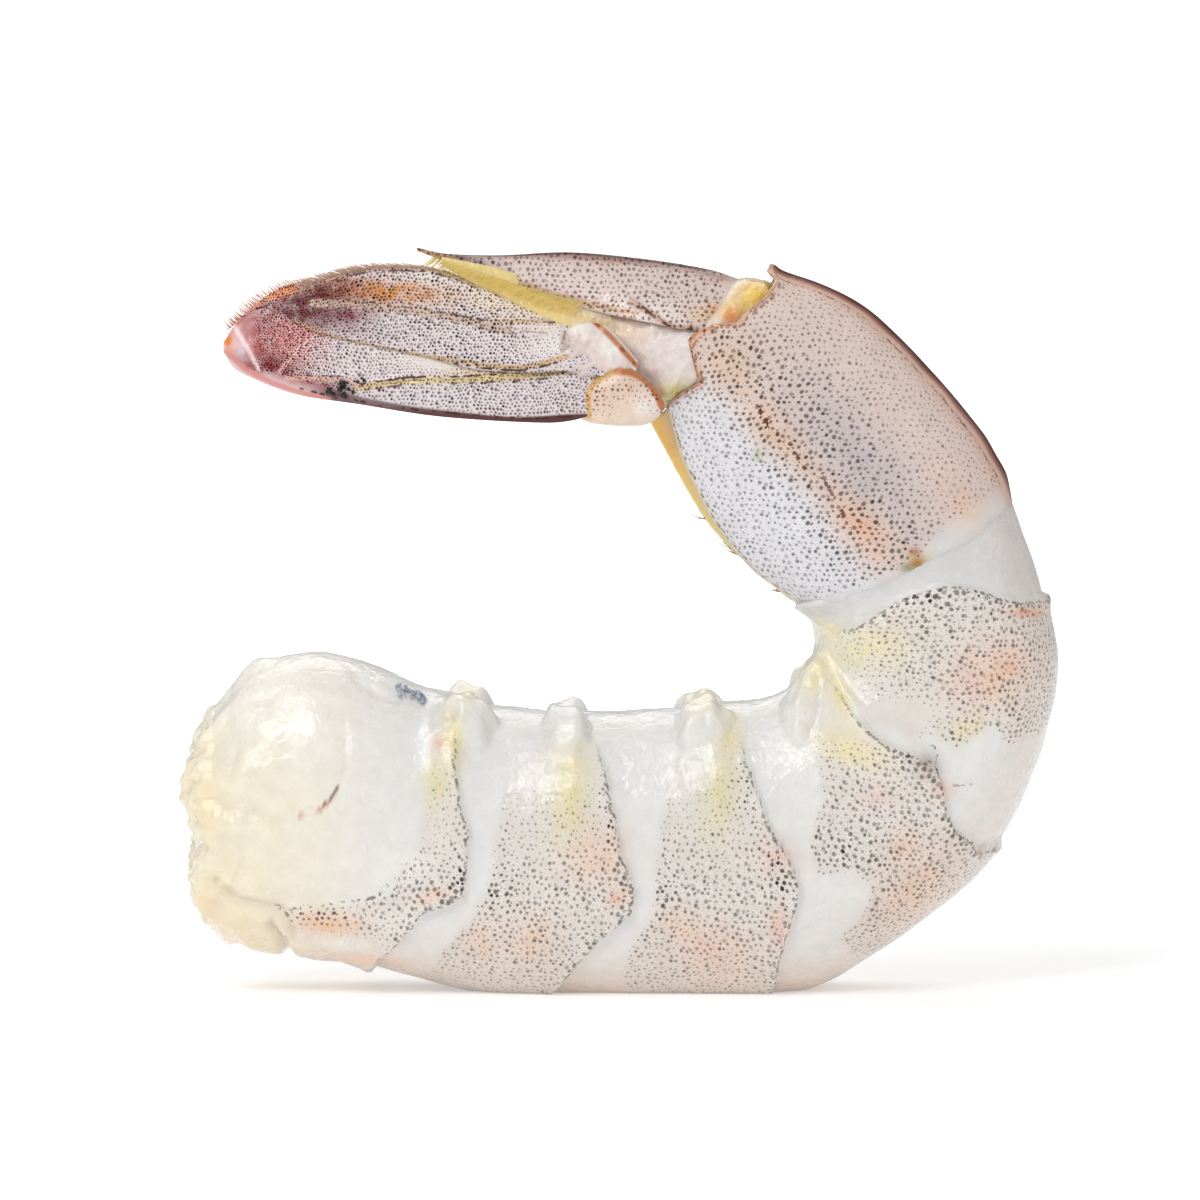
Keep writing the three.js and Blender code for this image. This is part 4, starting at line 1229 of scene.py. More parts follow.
def plate_reaches(station, flank, length, ragged):
    """How far points lie behind each plate's front edge, and before its rear edge."""
    return [
        (
            (station - pairs(front, flank)) * length + ragged,
            (pairs(rear, flank) - station) * length + ragged,
        )
        for front, rear in PLATES
    ]


def flesh_relief(point, flank, reaches, plate_step):
    """How far the flesh stands out: plates, swellings, leg stubs, folds and torn muscle."""
    x, y, z = point
    proud = np.zeros(x.shape)
    on_flank = smooth(0.95, 0.75, flank)
    for to_front, to_rear in reaches:
        rise = smooth(0, 0.9, to_front / np.maximum(to_front + to_rear, 0.3))
        step = smooth(-0.14, 0.14, to_rear)
        lip = 0.1 * hump((to_rear - 0.35) / 0.35) * smooth(0, 1, to_front)
        proud += (plate_step * rise + lip) * step * on_flank
    for swelling in SWELLINGS:
        proud += swelling[5] * oval(x, z, swelling)
    on_belly = smooth(0.8, 0.94, flank)
    across = (np.abs(y) - STUB_SPREAD) / STUB_WIDE
    uneven = 0.25 * grain(point, 1.2, seed=5)
    lumps = 0.2 * grain(point, 1.1, seed=15)
    for at, long, high in STUBS:
        blob = smooth(1.5, 0.7, np.hypot((x - at) / long, across) + uneven)
        proud += on_belly * blob * (high + lumps)
    for points, wide, high in FOLDS:
        proud += high * hump(line_distance(x, z, points) / wide)
    torn = 1 - smooth(-26, -20.5, x)
    crags = 0.4 * np.sin(1.1 * z + 0.9 * y) * np.sin(0.8 * y - 0.7 * z + 1)
    creased = 0.4 - np.abs(grain(point, 1.8, seed=2))
    proud += torn * (crags + 0.3 * grain(point, 3.0, seed=1) + 0.22 * creased)
    return proud + 0.05 * grain(point, 2.2, seed=4) + 0.03 * grain(point, 0.5, seed=10) * (1 - on_flank)


def round_off(station, moved, size, dome):
    """Draws the loft's skin in to its rounded ends: the torn cut face and the hidden tail end."""
    middle = rib_at(BODY, station)[0]
    ahead = heading(BODY, station)
    x = lerp(middle[0], moved[0], size)
    y = moved[1] * size
    z = lerp(middle[1], moved[2], size)
    x += ahead[0] * TAIL_DOME * np.maximum(dome, 0)
    z += ahead[1] * TAIL_DOME * np.maximum(dome, 0)
    face = np.maximum(-dome, 0)
    lobes = sum(high * hump(np.hypot(y - at_y, z - at_z) / half) for at_y, at_z, half, high in FACE_LOBES)
    points = np.stack([x, y, z])
    fibres = 0.3 * grain(points, 1.3, seed=6) + 0.16 * grain(points, 0.5, seed=7)
    x -= smooth(0, 0.35, face) * (CUT_DOME * face + lobes + fibres)
    return np.stack([x, y, np.maximum(z, 0)])


def paint_muscle(paint, flank):
    """Cream at the cut end, pearl on the muscle above it with its top paler as painted light, and painted
    warm shade near the back and the floor.
    """
    x, z = paint.x, paint.z
    clouds = grain(np.stack([x, paint.y, z]), 3.0, seed=8)
    paint.lay(CREAM, (1 - smooth(-25, -13.5, x)) * (0.6 + 0.05 * clouds))
    paint.lay(CREAM_DEEP, (1 - smooth(-28, -24.6, x)) * (0.3 + 0.2 * clouds))
    paint.lay(CREAM_DEEP, oval(x, z, (-25.6, 4.2, 2.2, 2.4, 0)) * 0.35)
    # Paler towards the top: painted light from above.
    paint.lay(PEARL_AND_HIGHLIGHT, (1 - smooth(-22, -12, x)) * smooth(14, 20, z) * 0.6)
    paint.lay(PEARL_AND_HIGHLIGHT, oval(x, z, (-20.8, 17.4, 3.2, 3.2, 0)) * 0.25)
    # Painted warm shade near the back and the floor, where shade and warm bounce light fall.
    paint.lay(WARM_SHADE, smooth(0.25, 0.0, flank) * 0.35)
    paint.lay(WARM_SHADE, smooth(3.0, 0.0, z) * 0.5)


def paint_plates(paint, flank, reaches, visible, plate_colour):
    """The plates' tint, their dots, and a dark line along each rear edge."""
    x, z = paint.x, paint.z
    on_flank = smooth(0.95, 0.75, flank)
    tinted = np.zeros(x.shape)
    bare = sum(patch[5] * oval(x, z, patch) for patch in BARE_PATCHES)
    dark = sum(patch[5] * oval(x, z, patch) for patch in DARK_PATCHES)
    seam = smooth(0.1, 0.5, np.abs(paint.y))
    for (to_front, to_rear), profile in zip(reaches, DOT_PROFILES):
        inside = smooth(0.0, 0.9, to_front) * smooth(-0.05, 0.1, to_rear)
        tinted = np.maximum(tinted, inside * smooth(1.0, 0.6, flank))
        amount = inside * (pairs(profile, flank) - bare)
        amount += 0.2 * smooth(1.0, 0.3, to_rear) * inside * on_flank
        paint.dots = np.maximum(paint.dots, amount)
        paint.draw(to_rear - 0.14, smooth(0.92, 0.78, flank) * smooth(0.2, 0.9, to_front) * 0.7)
    paint.dots *= visible * lerp(1, seam, 0.5)
    paint.tone = 0.42 + 0.32 * dark
    paint.lay(plate_colour, tinted * 0.6)


def add_flesh(settings):
    mesh, share, angle = ball("flesh", settings.rows, settings.around)
    along, size, dome = ends(share, FACE_SHARE, END_SHARE)
    station = body_station(along, FLESH_END)
    point, flank = body_point(station, angle, 0)
    length = station_length(station, angle)
    reaches = plate_reaches(station, flank, length, 0.16 * grain(point, 1.1, seed=3))
    proud = flesh_relief(point, flank, reaches, settings.plate_step / MM)
    covered, depth, ridge = under_shell(station, angle, flank, length)
    moved, _ = body_point(station, angle, proud * (1 - covered) - depth)
    points = round_off(station, moved, size, dome)
    write_points(mesh, points)

    paint = Paint(points, settings.flesh)
    paint_muscle(paint, flank)
    paint_plates(paint, flank, reaches, (1 - covered) * size, settings.plate)
    paint.lay_patches(FLESH_PATCHES, 0.35 * grain(points, 0.6, seed=9))
    facet = smooth(-0.5, 1.5, (station - pairs(PLATES[-1][1], flank)) * length) * (1 - ridge)
    paint.lay(FRONT_FACET, facet * 0.6)
    paint.lay(MEMBRANE_PALE, ridge * smooth(11.0, 12.2, station) * 0.9)
    paint.lay(MEMBRANE_DEEP, ridge * smooth(12.6, 14.0, station) * 0.9)
    to_front, to_rear = reaches[-1]
    on_back = smooth(0.5, 4.0, to_front) * smooth(0.0, 0.4, to_rear)
    paint.lay(BACK_LINE, hump(angle_off_back(angle) / 0.15) * on_back * 0.8)
    paint.lay_bands(FLESH_BANDS)
    paint.draw_marks(FLESH_MARKS)
    paint.line_amount *= 1 - covered
    paint.store(mesh, body_place(station, angle, points[1]))
    add_piece(mesh, skin_material("flesh"), ["meat"])


# ---------------------------------------------------------------------------------------------
# Last shell ring
# ---------------------------------------------------------------------------------------------

KEEL_HIGH = 0.36
KEEL_ANGLE = 0.1  # how far the keel spreads round the back, in radians
RIM_HIGH = 0.12  # of the roll along the rear edge
BELLY_FLARE = 0.65  # how far the belly edges bend outwards
SHELL_BELLY = colour(0xE3E3E8)
SHELL_TAIL = colour(0xDFCDC0)
SHELL_BACK = colour(0xE6CFC4)
SHELL_BAND = colour(0xE4E0DE)  # clear band along the front edge
KEEL_SIDE = colour(0xD9A283)
KEEL_RUST = colour(0x8A3E22)
KEEL_DARK = colour(0x36120A)
SLIT_EDGE = colour(0xC8A83C)


def add_shell(settings):
    mesh, along, around, through = slab("shell_ring", settings.rows, settings.around)
    angle = lerp(SHELL_SLIT - np.pi, np.pi - SHELL_SLIT, around)
    flank = (1 - outline(angle)[0]) / 2
    ragged = 0.05 * grain(np.stack([along * 0, angle * 4, along * 0]), 0.5, seed=11)
    last = np.full(angle.shape, REAR_SPINE - 0.2)
    rear = REAR_SPINE + (pairs(SHELL_REAR, flank) + ragged) / station_length(last, angle)
    front = pairs(SHELL_FRONT, flank) + ragged * 0.1
    station = lerp(front, rear, along)
    length = station_length(station, angle)
    to_front = (station - front) * length
    to_rear = (rear - station) * length
    to_slit = np.minimum(around, 1 - around) * 30
    edge = np.minimum(np.minimum(to_front, to_rear), to_slit)
    wall = settings.wall / MM * lerp(0.2, 1, smooth(0.2, 1.6, edge))
    tucked = 0.04 - 0.06 * smooth(0.6, 0.0, to_front)
    off_back = np.abs(angle)
    keel = KEEL_HIGH * hump(off_back / KEEL_ANGLE)
    rim = RIM_HIGH * hump((to_rear - 0.3) / 0.3)
    flat, _ = body_point(station, angle, 0)
    waves = 0.05 * grain(flat, 2.0, seed=12) * smooth(0.0, 1.2, to_front)
    belly = BELLY_FLARE * smooth(11.5, 12.4, station) * smooth(FLESH_END, 13.5, station)
    flare = belly * hump((np.pi - off_back - SHELL_SLIT) / 0.4)
    outer = keel * smooth(0.0, 2.6, to_front) + rim + waves + flare + tucked
    points, _ = body_point(station, angle, lerp(outer - wall, outer, through))
    write_points(mesh, points)

    paint = Paint(points, settings.shell)
    paint.lay(SHELL_BELLY, smooth(0.5, 0.8, flank) * 0.85)
    paint.lay(SHELL_TAIL, smooth(13.2, 15.0, station) * smooth(0.85, 0.6, flank) * 0.6)
    paint.lay(SHELL_BACK, smooth(0.4, 0.05, flank) * 0.6)
    upper = smooth(0.5, 0.25, flank)
    paint.lay(SHELL_BAND, smooth(1.2 + 1.4 * upper, 0.3, to_front) * (0.5 + 0.35 * upper))
    paint.lay_patches(SHELL_PATCHES, 0.35 * grain(points, 0.8, seed=14))
    paint.lay(KEEL_SIDE, hump((off_back - 0.2) / 0.2) * 0.7)
    paint.lay(KEEL_RUST, smooth(0.2, 0.1, off_back) * 0.9)
    paint.lay(KEEL_DARK, smooth(0.11, 0.04, off_back))
    paint.lay(ORANGE, hump(to_rear / 0.5) * smooth(0.3, 0.5, flank) * smooth(0.85, 0.7, flank) * 0.6)
    paint.lay(RUST, hump((to_rear - 0.1) / 0.14) * 0.85)
    paint.lay(SLIT_EDGE, hump(to_slit / 0.25) * 0.85)
    bare_front = smooth(0.1, 1.0, to_front - 1.2 * upper)
    paint.dots = bare_front * lerp(1, smooth(0.2, 0.32, off_back), 0.9)
    paint.dots *= 0.85 + 0.15 * smooth(0.2, 0.5, flank)
    paint.dots *= smooth(0.0, 0.4, to_slit)
    paint.tone = 0.35 + 0.2 * smooth(0.15, 0.5, flank) - 0.2 * smooth(0.65, 0.9, flank)
    paint.draw_marks(SHELL_MARKS)
    paint.draw((off_back - 0.3) * 5, 0.8)
    paint.draw(to_rear - 0.42, 0.6)
    paint.draw(to_slit - 0.4, 0.6)
    paint.line_amount *= bare_front
    paint.store(mesh, body_place(station, angle, points[1]))
    mesh.set_sharp_from_angle(angle=math.radians(60))
    add_piece(mesh, skin_material("shell"), ["tail_shell"])


# ---------------------------------------------------------------------------------------------
# Tail fan
# ---------------------------------------------------------------------------------------------

CAP_SHARE = 0.09  # share of a small loft's rows that each rounded end takes
BLADE_AROUND = 150  # steps round a blade's section
RIDGE_BAND = colour(0x8A6456)  # along the telson's ridge
RIDGE_DARK = colour(0x5A3A32)
MARGIN_DARK = colour(0x5E3A3C)  # rim of the outer blade
STRIP_YELLOW = colour(0xF8D884)
STRIP_CREAM = colour(0xF2DCC0)
# Height of the outer blade's dark rim, every 3.6 mm from its root.
MARGIN_HEIGHTS = (38.88, 38.7, 39.02, 39.45, 40.15, 41.1)
MARGIN_START, MARGIN_STEP = -3.6, 3.6


def edge_loft(name, ribs, rows, around, shape, relief=None, side=1):
    """A closed loft between two edges. shape gives the section in shares of its half depth and in
    millimetres across, and relief moves the skin outwards. side -1 makes the far one of a pair."""
    mesh, share, angle = ball(name, rows, around)
    angle = angle if side > 0 else (-angle) % (2 * np.pi)
    along, size, dome = ends(share, CAP_SHARE, CAP_SHARE)
    station = along * (len(ribs) - 1)
    middle, to_back, deep, half = rib_at(ribs, station)
    ahead = heading(ribs, station)
    back, across = shape(angle, deep, half, size)
    x, z = middle + to_back * deep * back * size + ahead * CAP_OUT * dome
    outward = across(z)
    if relief:
        outward = outward + relief(x, z, np.sin(angle), size)
    points = np.stack([x, -side * outward, z])
    write_points(mesh, points)
    return mesh, points, station, angle


def round_shape(offset):
    """A rounded section as wide as its rib says, round a plane beside the median one."""
    def shape(angle, deep, half, size):
        across = half * power(np.sin(angle), FLANK_SQUARE) * size
        return power(np.cos(angle), BACK_SQUARE), lambda z: offset + across
    return shape


def roof_shape(angle, deep, half, size):
    """The telson's section: a roof with a ridge on top, drawn in underneath."""
    eaves = 2 * np.pi / 3
    turn = np.where(angle > np.pi, angle - 2 * np.pi, angle)
    down = np.abs(turn) / eaves
    under = np.maximum(0, (np.abs(turn) - eaves) / (np.pi - eaves))
    across = np.where(down <= 1, down**0.75, 1 - under)
    back = np.where(down <= 1, 1 - 2 * down**1.3, 0.75 * under**1.2 - 1)
    return back, lambda z: np.sign(turn) * across * half * size


def blade_shape(offset, thick):
    """A blade's section: thin, leaning outwards from the fan's top, bowed between its margins."""
    def shape(angle, deep, half, size):
        across = thick * half * power(np.sin(angle), BLADE_BLUNT) * size
        crown = BLADE_CROWN * np.sin(angle) ** 2 * size * np.minimum(1, deep / 2)
        return np.cos(angle), lambda z: offset + FAN_LEAN * (FAN_TOP - z) + crown + across
    return shape


def ribbed(marks, high=0.13, wide=0.2):
    """Relief that raises a blade's outer face along its dark lines."""
    def relief(x, z, outer, size):
        raised = sum(hump(line_distance(x, z, points) / wide) for points, _ in marks)
        return high * raised * np.clip(outer, 0, 1) * size
    return relief


DOTS_CLOSE = -17.5  # x beyond which a blade's dots stand closer and closer
CLOSER_ALONG, CLOSER_ACROSS = 0.04, 0.08  # how fast they do, for each millimetre
BLADE_MIDDLE = 43.5  # height of a blade's middle near its tip


def plane_place(points):
    """Pattern places on a piece that stands nearly flat beside the median plane."""
    x, y, z = points
    return np.stack([x, z, y * 0.7])


def blade_place(points):
    """The same on a blade, drawn out towards its tip so that its dots are closer together."""
    x, high, deep = plane_place(points)
    beyond = np.maximum(0, DOTS_CLOSE - x)
    spread = (high - BLADE_MIDDLE) * (1 + CLOSER_ACROSS * beyond)
    return np.stack([x - CLOSER_ALONG * beyond**2, BLADE_MIDDLE + spread, deep])


def add_joint(settings):
    mesh, points, station, _ = edge_loft("joint_tissue", JOINT, 110, 90, round_shape(0))
    lumps = 0.12 * grain(points, 0.9, seed=21) + 0.06 * grain(points, 0.4, seed=22)
    middle = rib_at(JOINT, station)[0]
    push = np.stack([points[0] - middle[0], points[1], points[2] - middle[1]])
    push /= np.maximum(np.sqrt((push**2).sum(axis=0)), 0.1)
    points = points + push * (lumps - 0.15)
    write_points(mesh, points)
    paint = Paint(points, settings.tissue)
    paint.lay_patches(JOINT_PATCHES)
    paint.dots = 0.5 * oval(points[0], points[2], (2.2, 44.2, 1.6, 0.8, -0.4))
    paint.store(mesh, plane_place(points))
    add_piece(mesh, skin_material("tissue"), ["tail_joint"])


def add_telson(settings):
    mesh, points, _, angle = edge_loft(
        "telson_spike", TELSON, 220, BLADE_AROUND, roof_shape, ribbed(TELSON_MARKS[1:], high=0.12)
    )
    paint = Paint(points, settings.shell)
    paint.lay_patches(TELSON_PATCHES, 0.3 * grain(points, 0.6, seed=31))
    paint.lay_bands(TELSON_BANDS)
    paint.lay(RIDGE_BAND, smooth(0.5, 0.2, angle_off_back(angle)) * 0.6)
    paint.lay(RIDGE_DARK, smooth(0.24, 0.14, angle_off_back(angle)) * smooth(7.0, 5.0, points[0]))
    paint.dots = smooth(7.4, 6.4, points[0])
    paint.draw_marks(TELSON_MARKS)
    paint.store(mesh, plane_place(points))
    add_piece(mesh, skin_material("telson"), ["telson"])


def add_lobe(name, ribs, offset, torn, side, tint, patches, bands, marks, nodes=()):
    """One lobe of a uropod's root, with an outer face torn to a given depth."""
    mesh, points, _, _ = edge_loft(name, ribs, 90, 80, round_shape(offset), ribbed(marks, 0.06, 0.15), side)
    points[1] -= side * torn * (0.5 - np.abs(grain(points, 0.9, seed=41)))
    write_points(mesh, points)
    x, _, z = points
    paint = Paint(points, tint)
    paint.lay_patches(patches, 0.4 * grain(points, 0.5, seed=34))
    paint.lay_bands(bands)
    low_part = smooth(42.0, 40.4, z) * smooth(38.1, 38.9, z)
    paint.dots = low_part * (1 - 0.6 * oval(x, z, (0.6, 38.9, 2, 1, 0)))
    paint.dots += 0.8 * oval(x, z, (-3.8, 43.5, 0.7, 1.1, 0))
    paint.tone[:] = 0.55
    paint.draw_marks(marks)
    paint.store(mesh, plane_place(points))
    add_piece(mesh, skin_material("uropod_base"), nodes)


def add_uropod_base(settings, side, node_side):
    add_lobe(
        f"root_lobe_{node_side}", ROOT_LOBE, UROPOD_SIDE, 0, side,
        settings.base, ROOT_PATCHES, ROOT_BANDS, ROOT_MARKS, [f"uropod_base_{node_side}"],
    )
    add_lobe(
        f"white_lobe_{node_side}", WHITE_LOBE, UROPOD_SIDE - 0.15, 0.3, side,
        settings.tissue, LOBE_PATCHES, LOBE_BANDS, LOBE_MARKS,
    )


def add_endopod(settings, side, node_side):
    mesh, points, _, _ = edge_loft(
        f"inner_blade_{node_side}", ENDOPOD, 220, BLADE_AROUND,
        blade_shape(ENDOPOD_SIDE, settings.blade_half / MM), ribbed(ENDOPOD_MARKS), side,
    )
    paint = Paint(points, settings.blade)
    paint.lay_patches(ENDOPOD_PATCHES, 0.4 * grain(points, 0.6, seed=32))
    paint.lay_bands(ENDOPOD_BANDS)
    paint.dots = 1.0 - 0.4 * oval(points[0], points[2], (-4.5, 43.5, 2, 2, 0))
    paint.tone[:] = 0.66
    paint.draw_marks(ENDOPOD_MARKS)
    paint.store(mesh, blade_place(points))
    add_piece(mesh, skin_material("tail_blade"), [f"endopod_{node_side}"])


def add_exopod(settings, side, node_side):
    mesh, points, _, _ = edge_loft(
        f"outer_blade_{node_side}", EXOPOD, 230, BLADE_AROUND,
        blade_shape(EXOPOD_SIDE, settings.blade_half / MM), ribbed(EXOPOD_MARKS), side,
    )
    paint = Paint(points, settings.blade)
    x, _, z = points
    below = spline(MARGIN_HEIGHTS, (MARGIN_START - x) / MARGIN_STEP) - z
    paint.lay(MARGIN_DARK, smooth(0.02, 0.2, below) * smooth(-22, -19, x))
    paint.lay_patches(EXOPOD_PATCHES, 0.4 * grain(points, 0.6, seed=33))
    paint.lay_bands(EXOPOD_BANDS)
    paint.dots = 1.0 - 0.8 * oval(x, z, (-12.0, 42.3, 2.4, 0.6, 0)) - smooth(0, 0.3, below)
    paint.dots -= 0.9 * smooth(-23.8, -25.5, x)
    paint.tone = 0.62 + 0.2 * smooth(-17, -23, x)
    paint.draw_marks(EXOPOD_MARKS)
    paint.store(mesh, blade_place(points))
    add_piece(mesh, skin_material("tail_blade"), [f"exopod_{node_side}"])


def add_fan_membrane(settings, side, node_side):
    def shape(angle, deep, half, size):
        across = 0.12 * half * power(np.sin(angle), BLADE_BLUNT) * size
        return np.cos(angle), lambda z: 0.8 + FAN_LEAN * (FAN_TOP - z) + across
    mesh, points, _, _ = edge_loft(
        f"fan_membrane_{node_side}", FAN_MEMBRANE, 90, 24, shape, None, side
    )
    paint = Paint(points, settings.membrane)
    paint.lay(STRIP_YELLOW, smooth(-2.0, -7.0, points[0]) * 0.75)
    paint.lay(STRIP_CREAM, smooth(-4.4, -1.4, points[0]) * 0.85)
    paint.lay_bands(MEMBRANE_BANDS)
    paint.draw_marks(MEMBRANE_MARKS)
    paint.store(mesh, plane_place(points))
    add_piece(mesh, skin_material("tissue"))


# ---------------------------------------------------------------------------------------------
# Bristles
# ---------------------------------------------------------------------------------------------

def add_bristles(name, roots, tips, radius, material):
    """Slim cones from roots to tips in millimetres, as one mesh."""
    bm = bmesh.new()
    for root, tip in zip(roots.T, tips.T):
        root, tip = Vector(root * MM), Vector(tip * MM)
        run = tip - root
        turn = run.to_track_quat("Z", "Y").to_matrix().to_4x4()
        bmesh.ops.create_cone(
            bm, cap_ends=True, segments=4, radius1=radius * MM, radius2=radius * MM * 0.25,
            depth=run.length, matrix=Matrix.Translation((root + tip) / 2) @ turn,
        )
    mesh = finish_mesh(bm, name)
    write_layer(mesh, "along", np.tile(np.repeat([0.0, 1.0], 4), roots.shape[1]))
    return add_piece(mesh, material)


def fringe(count, root_line, lean, length, draws, side):
    """Roots spread along a line of x, y and z points, and tips that lean off them unevenly."""
    place = (np.arange(count) + draws.uniform(0, 1, count)) / count * (len(root_line) - 1)
    roots = np.stack([spline(column, place) for column in zip(*root_line)])
    reach = length * draws.uniform(0.75, 1.15, count)
    direction = np.array(lean)[:, None] + draws.normal(0, 0.08, (3, count))
    direction /= np.sqrt((direction**2).sum(axis=0))
    tips = roots + direction * reach
    flip = np.array([1, side, 1])[:, None]
    return roots * flip, tips * flip


def blade_outside(offset, x, z):
    """A root on a blade's margin, at its height on the near side."""
    return (x, -(offset + FAN_LEAN * (FAN_TOP - z)), z)


def add_crumbs(name, centres, sizes, tint):
    """Small rough crumbs, as one mesh."""
    bm = bmesh.new()
    for centre, size in zip(centres, sizes):
        made = bmesh.ops.create_icosphere(bm, subdivisions=3, radius=size * MM)["verts"]
        for vertex in made:
            vertex.co *= 1 + 0.9 * noise.noise(vertex.co / (0.6 * size * MM) + Vector(centre))
        bmesh.ops.translate(bm, verts=made, vec=Vector(centre) * MM)
    material, _, shader = new_material(f"{name}_colour")
    shader.inputs["Base Color"].default_value = opaque(tint)
    shader.inputs["Roughness"].default_value = 0.45
    add_piece(finish_mesh(bm, name), material)


def add_specks(settings):
    """Grit on the near blade, the leg's dark remains by the cut end, and hairs on the belly edge."""
    draws = np.random.default_rng(11)
    on_blade = [
        (x, blade_outside(EXOPOD_SIDE, x, z)[1] - settings.blade_half / MM - BLADE_CROWN * 0.9, z)
        for x, z in GRIT
    ]
    add_crumbs("grit", on_blade, draws.uniform(0.1, 0.22, len(GRIT)), BLACK)
    stations, angles = draws.normal(REMAINS[:2], REMAINS[2:], (REMAINS_COUNT, 2)).T
    points, _ = body_point(stations, angles, draws.uniform(0.1, 0.45, REMAINS_COUNT))
    sizes = draws.uniform(0.05, 0.17, REMAINS_COUNT)
    add_crumbs("leg_remains", points.T, sizes, colour(0xB0BAC4))

    hair = bristle_material("belly_hair", colour(0xA89A72), colour(0xB4A884))
    roots = []
    for station in HAIR_STATIONS:
        at = station + draws.normal(0, 0.05, HAIRS)
        angle = np.full(HAIRS, np.pi) + draws.normal(0, 0.03, HAIRS)
        roots.append(body_point(at, angle, ridge_reach(at) + 0.1)[0])
    roots = np.concatenate(roots, axis=1)
    lean = np.array([-0.85, 0, 0.5])[:, None] + draws.normal(0, 0.25, roots.shape)
    tips = roots + lean * draws.uniform(0.9, 1.7, roots.shape[1])
    add_bristles("belly_hairs", roots, tips, 0.045, hair)


def add_fringes(settings):
    draws = np.random.default_rng(7)
    telson_line = [
        (-12.6, -0.8, 49.1), (-9.4, -1.3, 48.1), (-7.2, -1.7, 47.4), (-5.0, -2.0, 46.7), (-2.6, -2.3, 46.1)
    ]
    endopod_line = [
        blade_outside(ENDOPOD_SIDE, *at)
        for at in (
            (-9.5, 47.1), (-11.5, 47.9), (-14.0, 48.3), (-17.0, 48.2), (-19.3, 47.6), (-21.0, 47.0)
        )
    ]
    exopod_line = [
        blade_outside(EXOPOD_SIDE, *at)
        for at in ((-20.5, 47.2), (-22.2, 47.1), (-24.0, 46.3), (-25.3, 45.2), (-26.3, 44.2))
    ]
    yellow = bristle_material("yellow_bristle", colour(0xF7DC80), colour(0xF0C850))
    pale = bristle_material("pale_bristle", colour(0xC9A08C), colour(0xE6D2C8))
    orange = bristle_material("orange_bristle", colour(0xF08A5C), colour(0x77706C))
    count = settings.bristles
    for name, line, lean, length, radius, material, many in (
        ("telson_fringe", telson_line, (-0.75, -0.3, -0.6), 1.2, 0.035, yellow, 1.0),
        ("inner_blade_fringe", endopod_line, (-0.95, -0.02, 0.28), 1.1, 0.03, pale, 1.6),
        ("outer_blade_fringe", exopod_line, (-0.7, -0.1, 0.65), 0.75, 0.03, orange, 0.35),
    ):
        halves = [fringe(int(count * many), line, lean, length, draws, side) for side in (1, -1)]
        roots, tips = (np.concatenate(part, axis=1) for part in zip(*halves))
        add_bristles(name, roots, tips, radius, material)


# ---------------------------------------------------------------------------------------------
# Stage
# ---------------------------------------------------------------------------------------------

PHOTO_WIDTH = 80.4  # millimetres across the picture at the median plane
PHOTO_CENTRE = (-1.5, 26.1)  # x and z at the picture's middle
SENSOR = 36  # millimetres
GLOW_NEAR, GLOW_FAR = 0.05, 0.25  # metres from the middle between which the floor's glow rises
BACKDROP = 1.2  # strength of the background that the camera sees


def add_light(name, place, target, width, power_watts, tint=(1, 1, 1)):
    data = bpy.data.lights.new(name, "AREA")
    data.shape = "DISK"
    data.size = width
    data.energy = power_watts
    data.color = tint
    lamp = bpy.data.objects.new(name, data)
    bpy.context.collection.objects.link(lamp)
    lamp.location = place
    lamp.rotation_euler = (Vector(target) - Vector(place)).to_track_quat("-Z", "Y").to_euler()


def add_floor(settings):
    """A white floor that looks evenly lit far from the shrimp and takes its shadow near it."""
    bm = bmesh.new()
    bmesh.ops.create_grid(bm, x_segments=1, y_segments=1, size=settings.floor_size / 2)
    floor = bpy.data.objects.new("floor", finish_mesh(bm, "floor"))
    bpy.context.collection.objects.link(floor)
    material, tree, shader = new_material("white_floor")
    shader.inputs["Base Color"].default_value = (0.93, 0.93, 0.93, 1)
    shader.inputs["Roughness"].default_value = 0.7
    shader.inputs["Specular IOR Level"].default_value = 0.2
    shader.inputs["Emission Color"].default_value = (1, 1, 1, 1)
    seen = add_node(tree, "ShaderNodeLightPath").outputs["Is Camera Ray"]
    spot = add_node(tree, "ShaderNodeTexCoord").outputs["Object"]
    away = add_node(tree, "ShaderNodeVectorMath", {0: spot}, operation="LENGTH").outputs["Value"]
    brighter = add_node(
        tree,
        "ShaderNodeMapRange",
        {
            "Value": away,
            "From Min": GLOW_NEAR,
            "From Max": GLOW_FAR,
            "To Min": settings.floor_glow,
            "To Max": 1.0,
        },
    ).outputs[0]
    unseen = maths(tree, "MULTIPLY", maths(tree, "SUBTRACT", 1.0, seen), settings.floor_light)
    glow = maths(tree, "MULTIPLY_ADD", seen, brighter, unseen)
    tree.links.new(glow, shader.inputs["Emission Strength"])
    floor.data.materials.append(material)


def add_sky(settings):
    """White light from all round, behind a background that shows as pure white."""
    world = bpy.data.worlds.new("white_studio")
    world.use_nodes = True
    tree = world.node_tree
    background = tree.nodes["Background"]
    background.inputs["Color"].default_value = (1, 1, 1, 1)
    seen = add_node(tree, "ShaderNodeLightPath").outputs["Is Camera Ray"]
    strength = maths(tree, "MULTIPLY_ADD", seen, BACKDROP - settings.sky, settings.sky)
    tree.links.new(strength, background.inputs["Strength"])
    bpy.context.scene.world = world


